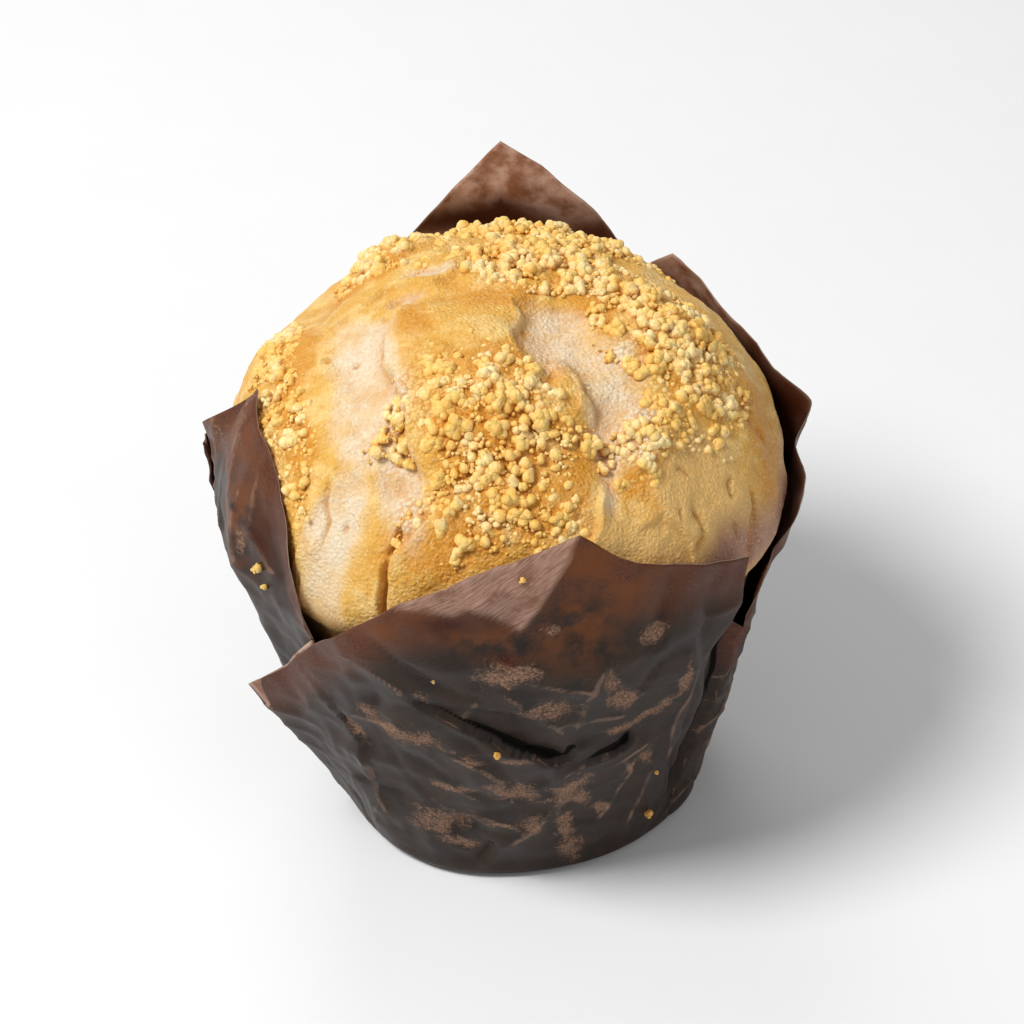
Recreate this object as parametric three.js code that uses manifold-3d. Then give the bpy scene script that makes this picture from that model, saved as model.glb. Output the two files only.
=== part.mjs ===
// A crumb-topped muffin in a folded paper wrap.
// Millimetres, +Z up. The origin is the middle of the wrap's flat base.
// Bearings are in degrees round +Z, from +X; the front of the muffin faces -Y.

import * as THREE from 'three';
import { mergeVertices } from 'three/addons/utils/BufferGeometryUtils.js';
import Module from 'manifold-3d';

// Cake
const CROWN_RADIUS = 41.6;
const CROWN_RISE = 30.4;
const CROWN_LEVEL = 57.5;
const COLLAR_LEVEL = 50.5;
const BODY_FOOT_RADIUS = 26.8;
const BODY_FLARE = 0.24;
const BODY_BASE = 1.0;
const CROWN_RINGS = 12;
const CAKE_SEGMENTS = 50;
const LEAN = -2.5;

// Paper wrap
const PAPER_THICKNESS = 0.6;
const PAPER_GAP = 0.35;
const FLOOR_THICKNESS = 0.55;
const FOOT_RADIUS = 28.0;
const FOOT_ROUNDING = 1.6;
const WALL_FLARE = 0.3;
const MOUTH_RADIUS = 43.8;
const STATION_STEP = 9;
const ROW_LEVELS = [0, 0.03, 0.26, 0.5, 0.68, 0.8, 0.9, 1];

// Swells and waists of the wrap's wall: [bearing, half width in degrees, height, half height, rise]
const WALL_SWELLS = [
  [-118, 26, 0, 22, 1.8],
  [-24, 12, 0, 20, 0.9],
  [-15, 34, 44, 20, -1.7],
];

// The wrap is one square of paper folded up round the cake, so its wall is a chain of sheets.
// Each sheet is a row of stations: [rim bearing, rim radius, rim height, foot bearing, bend, inset].
// Bend says how low the wall starts to leave its plain cone: 1 at the foot, 6 near the rim.
// Inset is how far a tucked layer lies inside the layer that covers it.
const FRONT_SHEET = [
  [-153, 44.2, 31.5, -157, 1, 0],
  [-143.5, 41.0, 38.5, -142, 1.5, 0],
  [-131, 42.2, 49, -130, 4, 0],
  [-121, 43.5, 56, -119, 6, 0],
  [-109, 43.6, 64.5, -108, 6, 0],
  [-96, 42.2, 70, -98, 6, 0],
  [-74, 39.2, 74, -79, 6, 0],
  [-66.5, 41.2, 69.9, -70, 6, 0],
  [-57, 42.6, 66.8, -60, 6, 0],
  [-37.5, 44.2, 61.5, -40, 6, 0],
];
const FRONT_GUSSET = [
  [-37.5, 44.2, 61.5, -40, 6, 0],
  [-33.5, 38.4, 46, -36, 0.6, 0],
];
const RIGHT_GUSSET = [
  [-33.5, 38.4, 46, -36, 0.6, 0],
  [-27, 39.2, 41, -30, 1, 0],
];
const RIGHT_SHEET = [
  [-27, 39.2, 41, -30, 1, 0],
  [-22, 43.2, 54, -24, 5, 0],
  [-14, 45.2, 58.5, -15, 7, 0],
  [-4, 45, 59.5, -4, 7, 0],
  [2, 44.2, 60.5, 2, 6, 0],
  [6.5, 46.7, 65, 6, 7, 0],
  [14, 43.6, 67.2, 13, 6, 0],
  [22.5, 42, 68.4, 22, 6, 0],
  [33, 41, 70.8, 32, 6, 0],
  [49, 39.8, 75.3, 47, 6, 0],
];
const BACK_TUCK = [
  [49, 39.8, 75.3, 47, 6, 0],
  [58.5, 40.6, 69.8, 56, 6, 0],
];
const BACK_SHEET = [
  [58.5, 40.6, 69.8, 56, 6, 0],
  [65.5, 43, 72.3, 65, 6, 0],
  [72.5, 43, 77.6, 72, 6, 0],
  [81.6, 43, 83.2, 82, 6, 0],
  [90.4, 43, 87.5, 90, 6, 0],
  [100.4, 43, 79.9, 100, 6, 0],
  [110.4, 43, 71.2, 110, 6, 0],
  [128, 43, 60, 127, 6, 0],
  [143, 44.4, 55, 142, 6, 0],
  [162, 45, 55.5, 160, 6, 0],
  [177, 45.1, 59.6, 176, 6, 0],
];
const LEFT_TUCK = [
  [177, 45.1, 59.6, 176, 6, 0],
  [160, 44.6, 56, 160, 6, 0.75],
  [148, 43.8, 54, 149, 6, 0.8],
];
const LEFT_SHEET = [
  [148, 43.8, 54, 149, 6, 0.8],
  [160, 44.4, 57, 160, 6, 1.5],
  [175, 44.8, 62, 174, 6, 1.2],
  [183, 42.2, 68, 182, 6, 0.4],
  [191.5, 36.6, 76.5, 191, 7, 0],
  [203, 37.4, 75.2, 203, 7, 0],
  [210, 38, 74.3, 209, 7, 1],
  [221, 40.4, 67.5, 219, 6, 1.5],
  [226, 42.8, 62.5, 222, 6, 1.2],
  [229, 43.4, 56, 225, 6, 1.2],
  [229.5, 42.4, 50.5, 226, 6, 1.5],
];
const FIN_LINING = [
  [-130.5, 42.4, 50.5, -134, 6, 1.5],
  [-143.5, 40.6, 39, -145, 2, 0.8],
  [-153, 44.2, 31.5, -157, 1, 0],
];
const SHEETS = [
  FRONT_SHEET, FRONT_GUSSET, RIGHT_GUSSET, RIGHT_SHEET, BACK_TUCK,
  BACK_SHEET, LEFT_TUCK, LEFT_SHEET, FIN_LINING,
];

// Soft swells and hollows of the crown, in plan: x, y, half sizes, turn in degrees, rise.
// A swell that carries crumbs also says how many, and their smallest and largest radius.
const SWELLS = [
  { x: -6, y: -21, rx: 12, ry: 8, turn: 0, rise: 3.0, crumbs: 30, small: 1.1, large: 2.1 },
  { x: -10, y: -7, rx: 9, ry: 6, turn: 0, rise: 1.8 },
  { x: 21, y: -5, rx: 8, ry: 12, turn: 12, rise: 2.8, crumbs: 32, small: 1.3, large: 2.6 },
  { x: 18, y: -22, rx: 3, ry: 8, turn: -35, rise: 1.4, crumbs: 8, small: 1.1, large: 1.9 },
  { x: 2, y: 10, rx: 13, ry: 7, turn: 0, rise: 1.2, crumbs: 22, small: 1.2, large: 2.2 },
  { x: 3, y: 26, rx: 16, ry: 8, turn: 0, rise: 1.0, crumbs: 12, small: 1.4, large: 2.4 },
  { x: -34, y: -14, rx: 3.5, ry: 11, turn: 12, rise: 0.8, crumbs: 10, small: 1.1, large: 1.8 },
  { x: -19, y: 17, rx: 7, ry: 5, turn: 20, rise: 2.0, crumbs: 10, small: 1.1, large: 2.0 },
  { x: -35, y: 3, rx: 2.5, ry: 7, turn: 0, rise: 0.3, crumbs: 6, small: 1.0, large: 1.6 },
  { x: -4, y: -33, rx: 12, ry: 4, turn: 0, rise: 0.6, crumbs: 8, small: 0.9, large: 1.5 },
  { x: 34, y: -8, rx: 5, ry: 14, turn: 0, rise: 1.0 },
  { x: -23, y: -12, rx: 5, ry: 10, turn: 8, rise: -1.3 },
  { x: -16, y: -29, rx: 4, ry: 6, turn: 25, rise: -1.4 },
  { x: 6, y: -8, rx: 6, ry: 6, turn: 0, rise: -1.8 },
  { x: 13, y: -26, rx: 4, ry: 7, turn: 10, rise: -1.6 },
  { x: 16, y: 15, rx: 7, ry: 6, turn: 0, rise: -1.2 },
  { x: -30, y: 13, rx: 6, ry: 8, turn: 0, rise: -2.8 },
];

// Turn from one crumb of a swell to the next, so that they cover it evenly
const GOLDEN_TURN = 2.39996;

// Crumbs from this radius up are round lumps, smaller ones are sharp bits.
const ROUND_CRUMB = 1.6;

// The single pale chunk that sits beside the front swell: x, y, radius
const CHUNK = [10, -25, 2.2];

const radians = THREE.MathUtils.degToRad;
const wasm = await Module();
wasm.setup();

// Draws numbers from 0 to 1, the same each time for the same seed.
function seededDraw(seed) {
  let state = seed;
  return () => {
    state = (state * 1664525 + 1013904223) % 4294967296;
    return state / 4294967296;
  };
}

function toSolid(geometry) {
  const bare = geometry.clone();
  bare.deleteAttribute('normal');
  bare.deleteAttribute('uv');
  const merged = mergeVertices(bare, 1e-4);
  const mesh = new wasm.Mesh({
    numProp: 3,
    vertProperties: new Float32Array(merged.attributes.position.array),
    triVerts: new Uint32Array(merged.index.array),
  });
  return new wasm.Manifold(mesh);
}

function toGeometry(solid) {
  const { vertProperties, triVerts } = solid.getMesh();
  const geometry = new THREE.BufferGeometry();
  geometry.setAttribute('position', new THREE.BufferAttribute(vertProperties, 3));
  geometry.setIndex(new THREE.BufferAttribute(triVerts, 1));
  return geometry;
}

function join(solids) {
  return solids.reduce((whole, piece) => whole.add(piece));
}

function largestBody(solid) {
  const bodies = solid.decompose();
  return bodies.reduce((best, body) => (body.volume() > best.volume() ? body : best));
}

function moveVertices(geometry, place) {
  const position = geometry.attributes.position;
  const point = new THREE.Vector3();
  for (let i = 0; i < position.count; i += 1) {
    point.fromBufferAttribute(position, i);
    place(point, i);
    position.setXYZ(i, point.x, point.y, point.z);
  }
  return geometry;
}

function leanAt(height) {
  return LEAN * Math.min(height / CROWN_LEVEL, 1);
}

// The plain cone of the wrap's wall, with a rounded foot, an even mouth and its swells.
function wallRadius(bearing, height) {
  const plain = Math.min(FOOT_RADIUS + WALL_FLARE * height, MOUTH_RADIUS);
  const rounding = FOOT_ROUNDING * Math.max(1 - height / FOOT_ROUNDING, 0) ** 2;
  const swells = WALL_SWELLS.map(([at, width, level, tall, rise]) => {
    const away = THREE.MathUtils.euclideanModulo(bearing - at + 180, 360) - 180;
    return rise * Math.exp(-((away / width) ** 2) - ((height - level) / tall) ** 2);
  });
  return swells.reduce((radius, rise) => radius + rise, plain - rounding);
}

// A point of a sheet: "along" counts stations, "up" goes from 0 at the foot to 1 at the rim.
function sheetPoint(stations, along, up) {
  const first = Math.min(Math.floor(along), stations.length - 2);
  const part = along - first;
  const [rim, radius, height, foot, bend, inset] = stations[first].map(
    (value, k) => THREE.MathUtils.lerp(value, stations[first + 1][k], part),
  );
  const z = height * up;
  const bearing = THREE.MathUtils.lerp(foot, rim, up);
  const offset = (radius - wallRadius(rim, height)) * up ** bend - inset * (1 - up ** 6);
  const reach = wallRadius(bearing, z) + offset;
  const angle = radians(bearing);
  return new THREE.Vector3(reach * Math.cos(angle) + leanAt(z), reach * Math.sin(angle), z);
}

// One sheet of the wrap: a box bent to its stations, standing on the flat base.
function sheetSolid(stations, thickness) {
  const marks = [0];
  for (let i = 1; i < stations.length; i += 1) {
    const turn = Math.abs(stations[i][0] - stations[i - 1][0]);
    const steps = Math.max(Math.ceil(turn / STATION_STEP), 1);
    for (let k = 1; k <= steps; k += 1) marks.push(i - 1 + k / steps);
  }
  const columns = marks.length - 1;
  const rows = ROW_LEVELS.length - 1;
  const box = new THREE.BoxGeometry(1, 1, 1, columns, rows, 1);
  const nudge = 0.01;
  moveVertices(box, (point) => {
    const column = Math.round((point.x + 0.5) * columns);
    const row = Math.round((point.y + 0.5) * rows);
    const side = -point.z;
    const along = marks[column];
    const up = ROW_LEVELS[row];
    const middle = sheetPoint(stations, along, up);
    const before = sheetPoint(stations, Math.max(along - nudge, 0), up);
    const after = sheetPoint(stations, Math.min(along + nudge, stations.length - 1), up);
    const below = sheetPoint(stations, along, Math.max(up - nudge, 0));
    const above = sheetPoint(stations, along, Math.min(up + nudge, 1));
    const acrossWay = after.sub(before).normalize();
    const upWay = above.sub(below).normalize();
    const normal = new THREE.Vector3().crossVectors(acrossWay, upWay).normalize();
    point.copy(middle).addScaledVector(normal, -side * thickness);
    if (column === 0) point.addScaledVector(acrossWay, -thickness / 2);
    if (column === columns) point.addScaledVector(acrossWay, thickness / 2);
    if (row === 0) point.z = 0;
  });
  return toSolid(box);
}

function floorSolid(thickness) {
  const outline = [];
  for (let bearing = 0; bearing < 360; bearing += 9) {
    const radius = wallRadius(bearing, 0) + 0.25;
    const angle = radians(bearing);
    outline.push(new THREE.Vector2(radius * Math.cos(angle), radius * Math.sin(angle)));
  }
  const shape = new THREE.Shape(outline);
  return toSolid(new THREE.ExtrudeGeometry(shape, { depth: thickness, bevelEnabled: false }));
}

function paperSolid(growth) {
  const thickness = PAPER_THICKNESS + 2 * growth;
  const sheets = SHEETS.map((stations) => sheetSolid(stations, thickness));
  return join([floorSolid(FLOOR_THICKNESS + growth), ...sheets]);
}

function swellAt(swell, x, y) {
  const turn = radians(swell.turn);
  const across = (x - swell.x) * Math.cos(turn) + (y - swell.y) * Math.sin(turn);
  const along = (y - swell.y) * Math.cos(turn) - (x - swell.x) * Math.sin(turn);
  return swell.rise * Math.exp(-((across / swell.rx) ** 2) - ((along / swell.ry) ** 2));
}

function crownRelief(x, y) {
  return SWELLS.reduce((rise, swell) => rise + swellAt(swell, x, y), 0);
}

function crownNormal(point) {
  return new THREE.Vector3(
    (point.x - LEAN) / CROWN_RADIUS ** 2,
    point.y / CROWN_RADIUS ** 2,
    Math.max(point.z - CROWN_LEVEL, 0) / CROWN_RISE ** 2,
  ).normalize();
}

// The crown's surface straight above a plan position.
function crownPoint(x, y) {
  const spread = Math.min(Math.hypot(x - LEAN, y) / CROWN_RADIUS, 0.999);
  const point = new THREE.Vector3(x, y, CROWN_LEVEL + CROWN_RISE * Math.sqrt(1 - spread ** 2));
  const normal = crownNormal(point);
  return { point: point.addScaledVector(normal, crownRelief(x, y)), normal };
}

function cakeBody() {
  const profile = [new THREE.Vector2(0, BODY_BASE)];
  const bodyRadius = (height) => BODY_FOOT_RADIUS + BODY_FLARE * height;
  profile.push(new THREE.Vector2(bodyRadius(0) * 0.6, BODY_BASE));
  profile.push(new THREE.Vector2(bodyRadius(0) - 1.6, BODY_BASE));
  profile.push(new THREE.Vector2(bodyRadius(2), BODY_BASE + 1.8));
  for (let height = 12; height < COLLAR_LEVEL; height += 12) {
    profile.push(new THREE.Vector2(bodyRadius(height), height));
  }
  profile.push(new THREE.Vector2(bodyRadius(COLLAR_LEVEL), COLLAR_LEVEL));
  profile.push(new THREE.Vector2(CROWN_RADIUS - 0.4, COLLAR_LEVEL + 3));
  const rings = CROWN_RINGS;
  for (let ring = 0; ring <= rings; ring += 1) {
    const angle = (Math.PI / 2) * (ring / rings);
    const radius = ring === rings ? 0 : CROWN_RADIUS * Math.cos(angle);
    profile.push(new THREE.Vector2(radius, CROWN_LEVEL + CROWN_RISE * Math.sin(angle)));
  }
  const lathe = new THREE.LatheGeometry(profile, CAKE_SEGMENTS);
  lathe.rotateX(Math.PI / 2);
  moveVertices(lathe, (point) => {
    point.x += leanAt(point.z);
    if (point.z <= CROWN_LEVEL) return;
    point.addScaledVector(crownNormal(point), crownRelief(point.x, point.y));
  });
  return toSolid(lathe);
}

// Crumbs fused to the crown, largest first, each a small squashed lump half sunk in the crust.
function crumbSolids() {
  const crumbs = [];
  SWELLS.forEach((swell, index) => {
    if (!swell.crumbs) return;
    const draw = seededDraw(101 + 17 * index);
    for (let i = 0; i < swell.crumbs; i += 1) {
      const share = i / swell.crumbs;
      const radius = swell.large + (swell.small - swell.large) * share;
      const spread = Math.sqrt((i + draw()) / swell.crumbs);
      const angle = GOLDEN_TURN * i + draw();
      const turn = radians(swell.turn);
      const across = swell.rx * spread * Math.cos(angle);
      const along = swell.ry * spread * Math.sin(angle);
      const x = swell.x + across * Math.cos(turn) - along * Math.sin(turn);
      const y = swell.y + across * Math.sin(turn) + along * Math.cos(turn);
      const spin = [draw(), draw(), draw()].map((value) => value * Math.PI);
      crumbs.push({ x, y, radius, spin });
    }
  });
  crumbs.push({ x: CHUNK[0], y: CHUNK[1], radius: CHUNK[2], spin: [0.4, 0.9, 0.2] });
  return crumbs
    .filter(({ x, y, radius }) => Math.hypot(x - LEAN, y) + radius < CROWN_RADIUS - 1.5)
    .map(({ x, y, radius, spin }) => {
      const { point, normal } = crownPoint(x, y);
      const lump = radius >= ROUND_CRUMB
        ? new THREE.IcosahedronGeometry(radius, 0)
        : new THREE.OctahedronGeometry(radius * 1.15, 0);
      lump.scale(1, 1, 0.85);
      lump.rotateX(spin[0]);
      lump.rotateY(spin[1]);
      lump.rotateZ(spin[2]);
      point.addScaledVector(normal, radius * 0.25);
      lump.translate(point.x, point.y, point.z);
      return toSolid(lump);
    });
}

function part(name, solid, colour, roughness) {
  const material = new THREE.MeshStandardMaterial({ color: colour, roughness, metalness: 0 });
  const mesh = new THREE.Mesh(toGeometry(solid), material);
  mesh.name = name;
  return mesh;
}

const paper = largestBody(paperSolid(0));
const uncutCake = join([cakeBody(), ...crumbSolids()]);
const cake = largestBody(uncutCake.subtract(paperSolid(PAPER_GAP)));

const muffin = new THREE.Group();
muffin.add(part('cake', cake, 0xe9b85c, 0.85));
muffin.add(part('paper_wrap', paper, 0x33261f, 0.6));

export default muffin;
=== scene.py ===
"""A crumb-topped muffin in a folded paper wrap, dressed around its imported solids.

Shapes are worked out in millimetres, +Z up, with the origin in the middle of the wrap's base,
and are scaled to metres when a mesh is made. Bearings are degrees round +Z, from +X.
"""

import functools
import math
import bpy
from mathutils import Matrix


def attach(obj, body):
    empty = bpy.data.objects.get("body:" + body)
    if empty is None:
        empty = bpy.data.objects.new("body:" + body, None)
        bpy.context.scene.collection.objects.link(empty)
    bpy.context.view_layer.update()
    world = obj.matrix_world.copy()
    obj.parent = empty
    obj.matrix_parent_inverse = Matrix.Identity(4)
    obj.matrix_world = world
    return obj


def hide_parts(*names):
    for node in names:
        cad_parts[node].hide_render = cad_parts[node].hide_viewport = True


bl_info = {
    "name": "Crumb Muffin",
    "version": (1, 0, 0),
    "blender": (4, 5, 0),
    "location": "3D View > Sidebar > Muffin",
    "description": "Builds a crumb-topped muffin in a folded paper wrap",
    "category": "Add Mesh",
}

import bmesh
import bpy
import numpy as np
from mathutils import Vector

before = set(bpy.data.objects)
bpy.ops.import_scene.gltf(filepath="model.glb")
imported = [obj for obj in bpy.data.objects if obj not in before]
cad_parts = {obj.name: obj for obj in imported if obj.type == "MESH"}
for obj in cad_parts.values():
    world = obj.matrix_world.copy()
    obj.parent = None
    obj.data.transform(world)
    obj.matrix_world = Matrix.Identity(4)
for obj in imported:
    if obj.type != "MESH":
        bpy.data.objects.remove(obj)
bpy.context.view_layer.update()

MM = 0.001

# Cake form, the same values as the solids
CROWN_RADIUS = 41.6
CROWN_RISE = 30.4
CROWN_LEVEL = 57.5
COLLAR_LEVEL = 50.5
BODY_FOOT_RADIUS = 26.8
BODY_FLARE = 0.24
BODY_BASE = 1.0
LEAN = -2.5
CRUMB_SEED = 101
CRUMB_SEED_STEP = 17
CRUMB_MARGIN = 1.5

# Wrap form, the same values as the solids
FOOT_RADIUS = 28.0
FOOT_ROUNDING = 1.6
WALL_FLARE = 0.3
MOUTH_RADIUS = 43.8

# Swells and waists of the wrap's wall: bearing, half width, height, half height, rise
WALL_SWELLS = (
    (-118, 26, 0, 22, 1.8),
    (-24, 12, 0, 20, 0.9),
    (-15, 34, 44, 20, -1.7),
)

# The wrap's sheets, as stations: rim bearing, rim radius, rim height, foot bearing, bend, inset
FRONT_SHEET = (
    (-153, 44.2, 31.5, -157, 1, 0),
    (-143.5, 41.0, 38.5, -142, 1.5, 0),
    (-131, 42.2, 49, -130, 4, 0),
    (-121, 43.5, 56, -119, 6, 0),
    (-109, 43.6, 64.5, -108, 6, 0),
    (-96, 42.2, 70, -98, 6, 0),
    (-74, 39.2, 74, -79, 6, 0),
    (-66.5, 41.2, 69.9, -70, 6, 0),
    (-57, 42.6, 66.8, -60, 6, 0),
    (-37.5, 44.2, 61.5, -40, 6, 0),
)
FRONT_GUSSET = (
    (-37.5, 44.2, 61.5, -40, 6, 0),
    (-33.5, 38.4, 46, -36, 0.6, 0),
)
RIGHT_GUSSET = (
    (-33.5, 38.4, 46, -36, 0.6, 0),
    (-27, 39.2, 41, -30, 1, 0),
)
RIGHT_SHEET = (
    (-27, 39.2, 41, -30, 1, 0),
    (-22, 43.2, 54, -24, 5, 0),
    (-14, 45.2, 58.5, -15, 7, 0),
    (-4, 45, 59.5, -4, 7, 0),
    (2, 44.2, 60.5, 2, 6, 0),
    (6.5, 46.7, 65, 6, 7, 0),
    (14, 43.6, 67.2, 13, 6, 0),
    (22.5, 42, 68.4, 22, 6, 0),
    (33, 41, 70.8, 32, 6, 0),
    (49, 39.8, 75.3, 47, 6, 0),
)
BACK_TUCK = (
    (49, 39.8, 75.3, 47, 6, 0),
    (58.5, 40.6, 69.8, 56, 6, 0),
)
BACK_SHEET = (
    (58.5, 40.6, 69.8, 56, 6, 0),
    (65.5, 43, 72.3, 65, 6, 0),
    (72.5, 43, 77.6, 72, 6, 0),
    (81.6, 43, 83.2, 82, 6, 0),
    (90.4, 43, 87.5, 90, 6, 0),
    (100.4, 43, 79.9, 100, 6, 0),
    (110.4, 43, 71.2, 110, 6, 0),
    (128, 43, 60, 127, 6, 0),
    (143, 44.4, 55, 142, 6, 0),
    (162, 45, 55.5, 160, 6, 0),
    (177, 45.1, 59.6, 176, 6, 0),
)
LEFT_TUCK = (
    (177, 45.1, 59.6, 176, 6, 0),
    (160, 44.6, 56, 160, 6, 0.75),
    (148, 43.8, 54, 149, 6, 0.8),
)
LEFT_SHEET = (
    (148, 43.8, 54, 149, 6, 0.8),
    (160, 44.4, 57, 160, 6, 1.5),
    (175, 44.8, 62, 174, 6, 1.2),
    (183, 42.2, 68, 182, 6, 0.4),
    (191.5, 36.6, 76.5, 191, 7, 0),
    (203, 37.4, 75.2, 203, 7, 0),
    (210, 38, 74.3, 209, 7, 1),
    (221, 40.4, 67.5, 219, 6, 1.5),
    (226, 42.8, 62.5, 222, 6, 1.2),
    (229, 43.4, 56, 225, 6, 1.2),
    (229.5, 42.4, 50.5, 226, 6, 1.5),
)
FIN_LINING = (
    (229.5, 42.4, 50.5, 226, 6, 1.5),
    (216.5, 40.6, 39, 215, 2, 0.8),
    (207, 44.2, 31.5, 203, 1, 0),
)
SHEETS = (
    FRONT_SHEET, FRONT_GUSSET, RIGHT_GUSSET, RIGHT_SHEET, BACK_TUCK,
    BACK_SHEET, LEFT_TUCK, LEFT_SHEET, FIN_LINING,
)

# Sheet coordinates of the wrap's marks: bearing in degrees and height in millimetres
AROUND_RADIUS = 38.0

# Creases of the wrap that stand up or sink in sharply: the line, rise and half width
PAPER_CREASES = (
    (((-126, 51), (-120, 51), (-115, 49), (-111, 47), (-108, 44)), 0.9, 1.5),
    (((-118, 57), (-112, 54), (-109, 52), (-106, 50), (-102, 48), (-95, 47)), -1.1, 1.5),
    (((-100, 41), (-97, 44), (-95, 47)), 0.4, 0.9),
    (((-93, 51), (-90, 49), (-86, 46), (-83, 43), (-80, 41), (-77, 36)), 0.8, 1.8),
    (((-70, 55), (-72, 51), (-74, 46), (-76, 37)), 0.8, 1.6),
    (((-70, 55), (-69.5, 51), (-67, 47), (-64, 43)), -1.2, 1.0),
    (((-64, 43), (-61, 46), (-58, 49), (-54, 50), (-49, 48)), -0.8, 1.0),
    (((-73, 30), (-75, 26), (-78, 21), (-84, 14), (-89, 11), (-97, 7)), 0.8, 1.6),
    (((-101, 17), (-96, 16), (-93, 15), (-88, 13), (-85, 14)), 0.4, 1.0),
    (((-106, 34), (-97, 31), (-89, 25)), 1.0, 3.0),
    (((-119, 32), (-112, 29), (-107, 27), (-103, 26)), -0.9, 2.2),
    (((-108, 10), (-103, 17), (-100, 13)), -0.9, 1.2),
    (((-96, 10), (-98.5, 7.5), (-102, 5)), -1.0, 0.9),
    (((-126, 28), (-127, 22), (-128, 15), (-124, 8)), 0.7, 2.0),
    (((-121, 37), (-119, 30), (-114, 22), (-110, 20)), -0.6, 2.0),
    (((-74, 74), (-78, 70), (-82, 66), (-86, 61)), 0.8, 3.0),
    (((-66, 69), (-69, 67), (-71, 64), (-73, 59), (-73, 55)), -0.6, 1.4),
    (((-55, 67), (-56, 64), (-58, 59), (-58, 55)), -0.7, 1.6),
    (((-49, 50), (-46, 40), (-49, 30), (-47, 16)), 0.8, 1.8),
    (((-56, 28), (-53, 22), (-55, 12), (-58, 5)), 0.5, 1.6),
    (((-44, 44), (-43, 30), (-42, 14), (-40, 6)), -0.8, 1.6),
    (((-66, 31), (-60, 24), (-63, 17), (-70, 8)), 0.4, 1.6),
    (((198, 73), (200, 66), (203, 58), (207, 50)), 0.5, 2.4),
    (((191, 70), (192, 58), (195, 48), (200, 38)), -0.6, 2.0),
    (((206, 62), (211, 60), (216, 57), (221, 58)), 0.5, 1.2),
    (((100, 82), (97, 74), (96, 64)), 0.5, 2.2),
    (((84, 84), (82, 76), (84, 66)), -0.4, 2.0),
    (((50, 75), (44, 69), (36, 62), (28, 56)), 0.6, 1.4),
    (((-34, 48), (-34, 40), (-34.5, 30), (-36, 18), (-38, 5)), -2.4, 1.8),
    (((-23, 50), (-24, 36), (-26, 20), (-27, 6)), 0.5, 1.2),
    (((-17, 54), (-18, 40), (-20, 24), (-21, 8)), 0.5, 1.6),
    (((-10, 56), (-12, 40), (-13, 24), (-14, 8)), -0.5, 1.6),
    (((-3, 57), (-4, 42), (-6, 26), (-5, 10)), 0.6, 1.8),
)

# Folds where one side of the wrap hangs over the other: the line, how far the left side stands
# out, how far it hangs over, how far behind the line it runs back, and how dark the shade painted
# in its slit is
PAPER_TUCKS = (
    (((-76, 31.2), (-79, 31.2), (-83, 33), (-90, 36), (-96, 39), (-100, 41), (-104, 42.5),
      (-108, 44), (-111, 46)), 2.2, 1.0, 8, 1),
    (((-73.5, 29.5), (-71.5, 30), (-69, 31), (-63, 31.5), (-60, 33))[::-1], 1.4, 0.8, 5, 1),
    (((-74.5, 35), (-75.5, 33), (-76.5, 31)), 0.9, 0.3, 3, 0.8),
    (((-28.5, 46), (-29, 38), (-30.5, 28), (-33, 16), (-35.5, 5)), 1.2, 1.6, 4, 0.6),
    (((-128, 17), (-126.5, 24), (-126, 28), (-129, 31), (-132, 33), (-134, 38), (-137, 41),
      (-139, 45)), 0.9, 0.5, 7, 0),
)

# Dry patches on the wrap's outside: bearing, height, half sizes in millimetres, turn
DRY_PATCHES = (
    (-113, 36, 4.6, 1.6, -10), (-108, 36, 1.6, 1.6, 0), (-127, 31, 0.9, 2.4, 25),
    (-121, 38, 1.8, 0.8, 0), (-98, 33, 1.3, 0.9, 0), (-89, 33, 2.0, 0.8, 0),
    (-105, 24, 3.6, 0.8, 6), (-90, 24, 3.6, 2.2, -20), (-110, 14, 4.0, 2.8, 20),
    (-106, 9, 3.8, 0.9, -8), (-95, 15, 3.4, 0.5, -12), (-85, 15, 1.6, 2.0, 0),
    (-76, 23, 2.2, 3.6, -30), (-73, 21, 1.2, 3.2, 20), (-76, 13, 1.4, 4.0, 12),
    (-74, 6, 2.0, 2.4, 0), (-66, 16, 1.4, 1.2, 0), (-69, 49, 0.9, 2.4, 8),
    (-66, 36, 2.0, 0.8, -8), (-60, 36, 2.2, 0.9, 20), (-54, 37, 1.8, 1.2, 40),
    (-50, 42, 0.9, 3.6, 0), (-56, 26, 1.2, 1.6, 20), (-60, 25, 1.4, 0.5, 40),
    (-60, 56, 1.6, 1.2, 0), (-92, 52, 2.2, 1.6, 0), (-87, 54, 2.4, 1.2, -15),
    (-107, 46, 0.8, 1.2, 30), (-80, 60, 1.0, 0.8, 0), (207, 58, 0.7, 2.4, -12),
    (-14, 30, 0.8, 3.4, -10), (-82, 45, 3.4, 1.4, 10), (-66, 44, 1.6, 3.0, 35),
    (-20, 12, 2.2, 1.4, 0), (60, 20, 5, 2.4, 20), (95, 34, 3.4, 5, -20), (120, 16, 6, 2, 10),
    (150, 30, 3, 4, 30), (172, 14, 4.4, 1.8, -10), (20, 36, 2, 6, 10), (-6, 16, 1.6, 3.6, 10),
)
LIGHT_FLAP = (
    (-110, 63.6), (-104, 63.8), (-99, 63.2), (-96, 65), (-93, 64), (-90, 62), (-86, 60.4),
    (-74, 74.6), (-82, 74), (-96, 70.4), (-109, 65),
)
RUSTY_PATCHES = (
    (-101, 61, 7, 2.4, -6), (-114, 59, 3.6, 2.4, 0), (-72, 69, 4, 5, 24), (-90, 59, 5, 2.4, 0),
    (-62, 64, 4.6, 4, 0), (-76, 61, 5, 5, 0), (196, 70, 7, 5, 0), (206, 62, 4, 8, -12),
)
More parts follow.
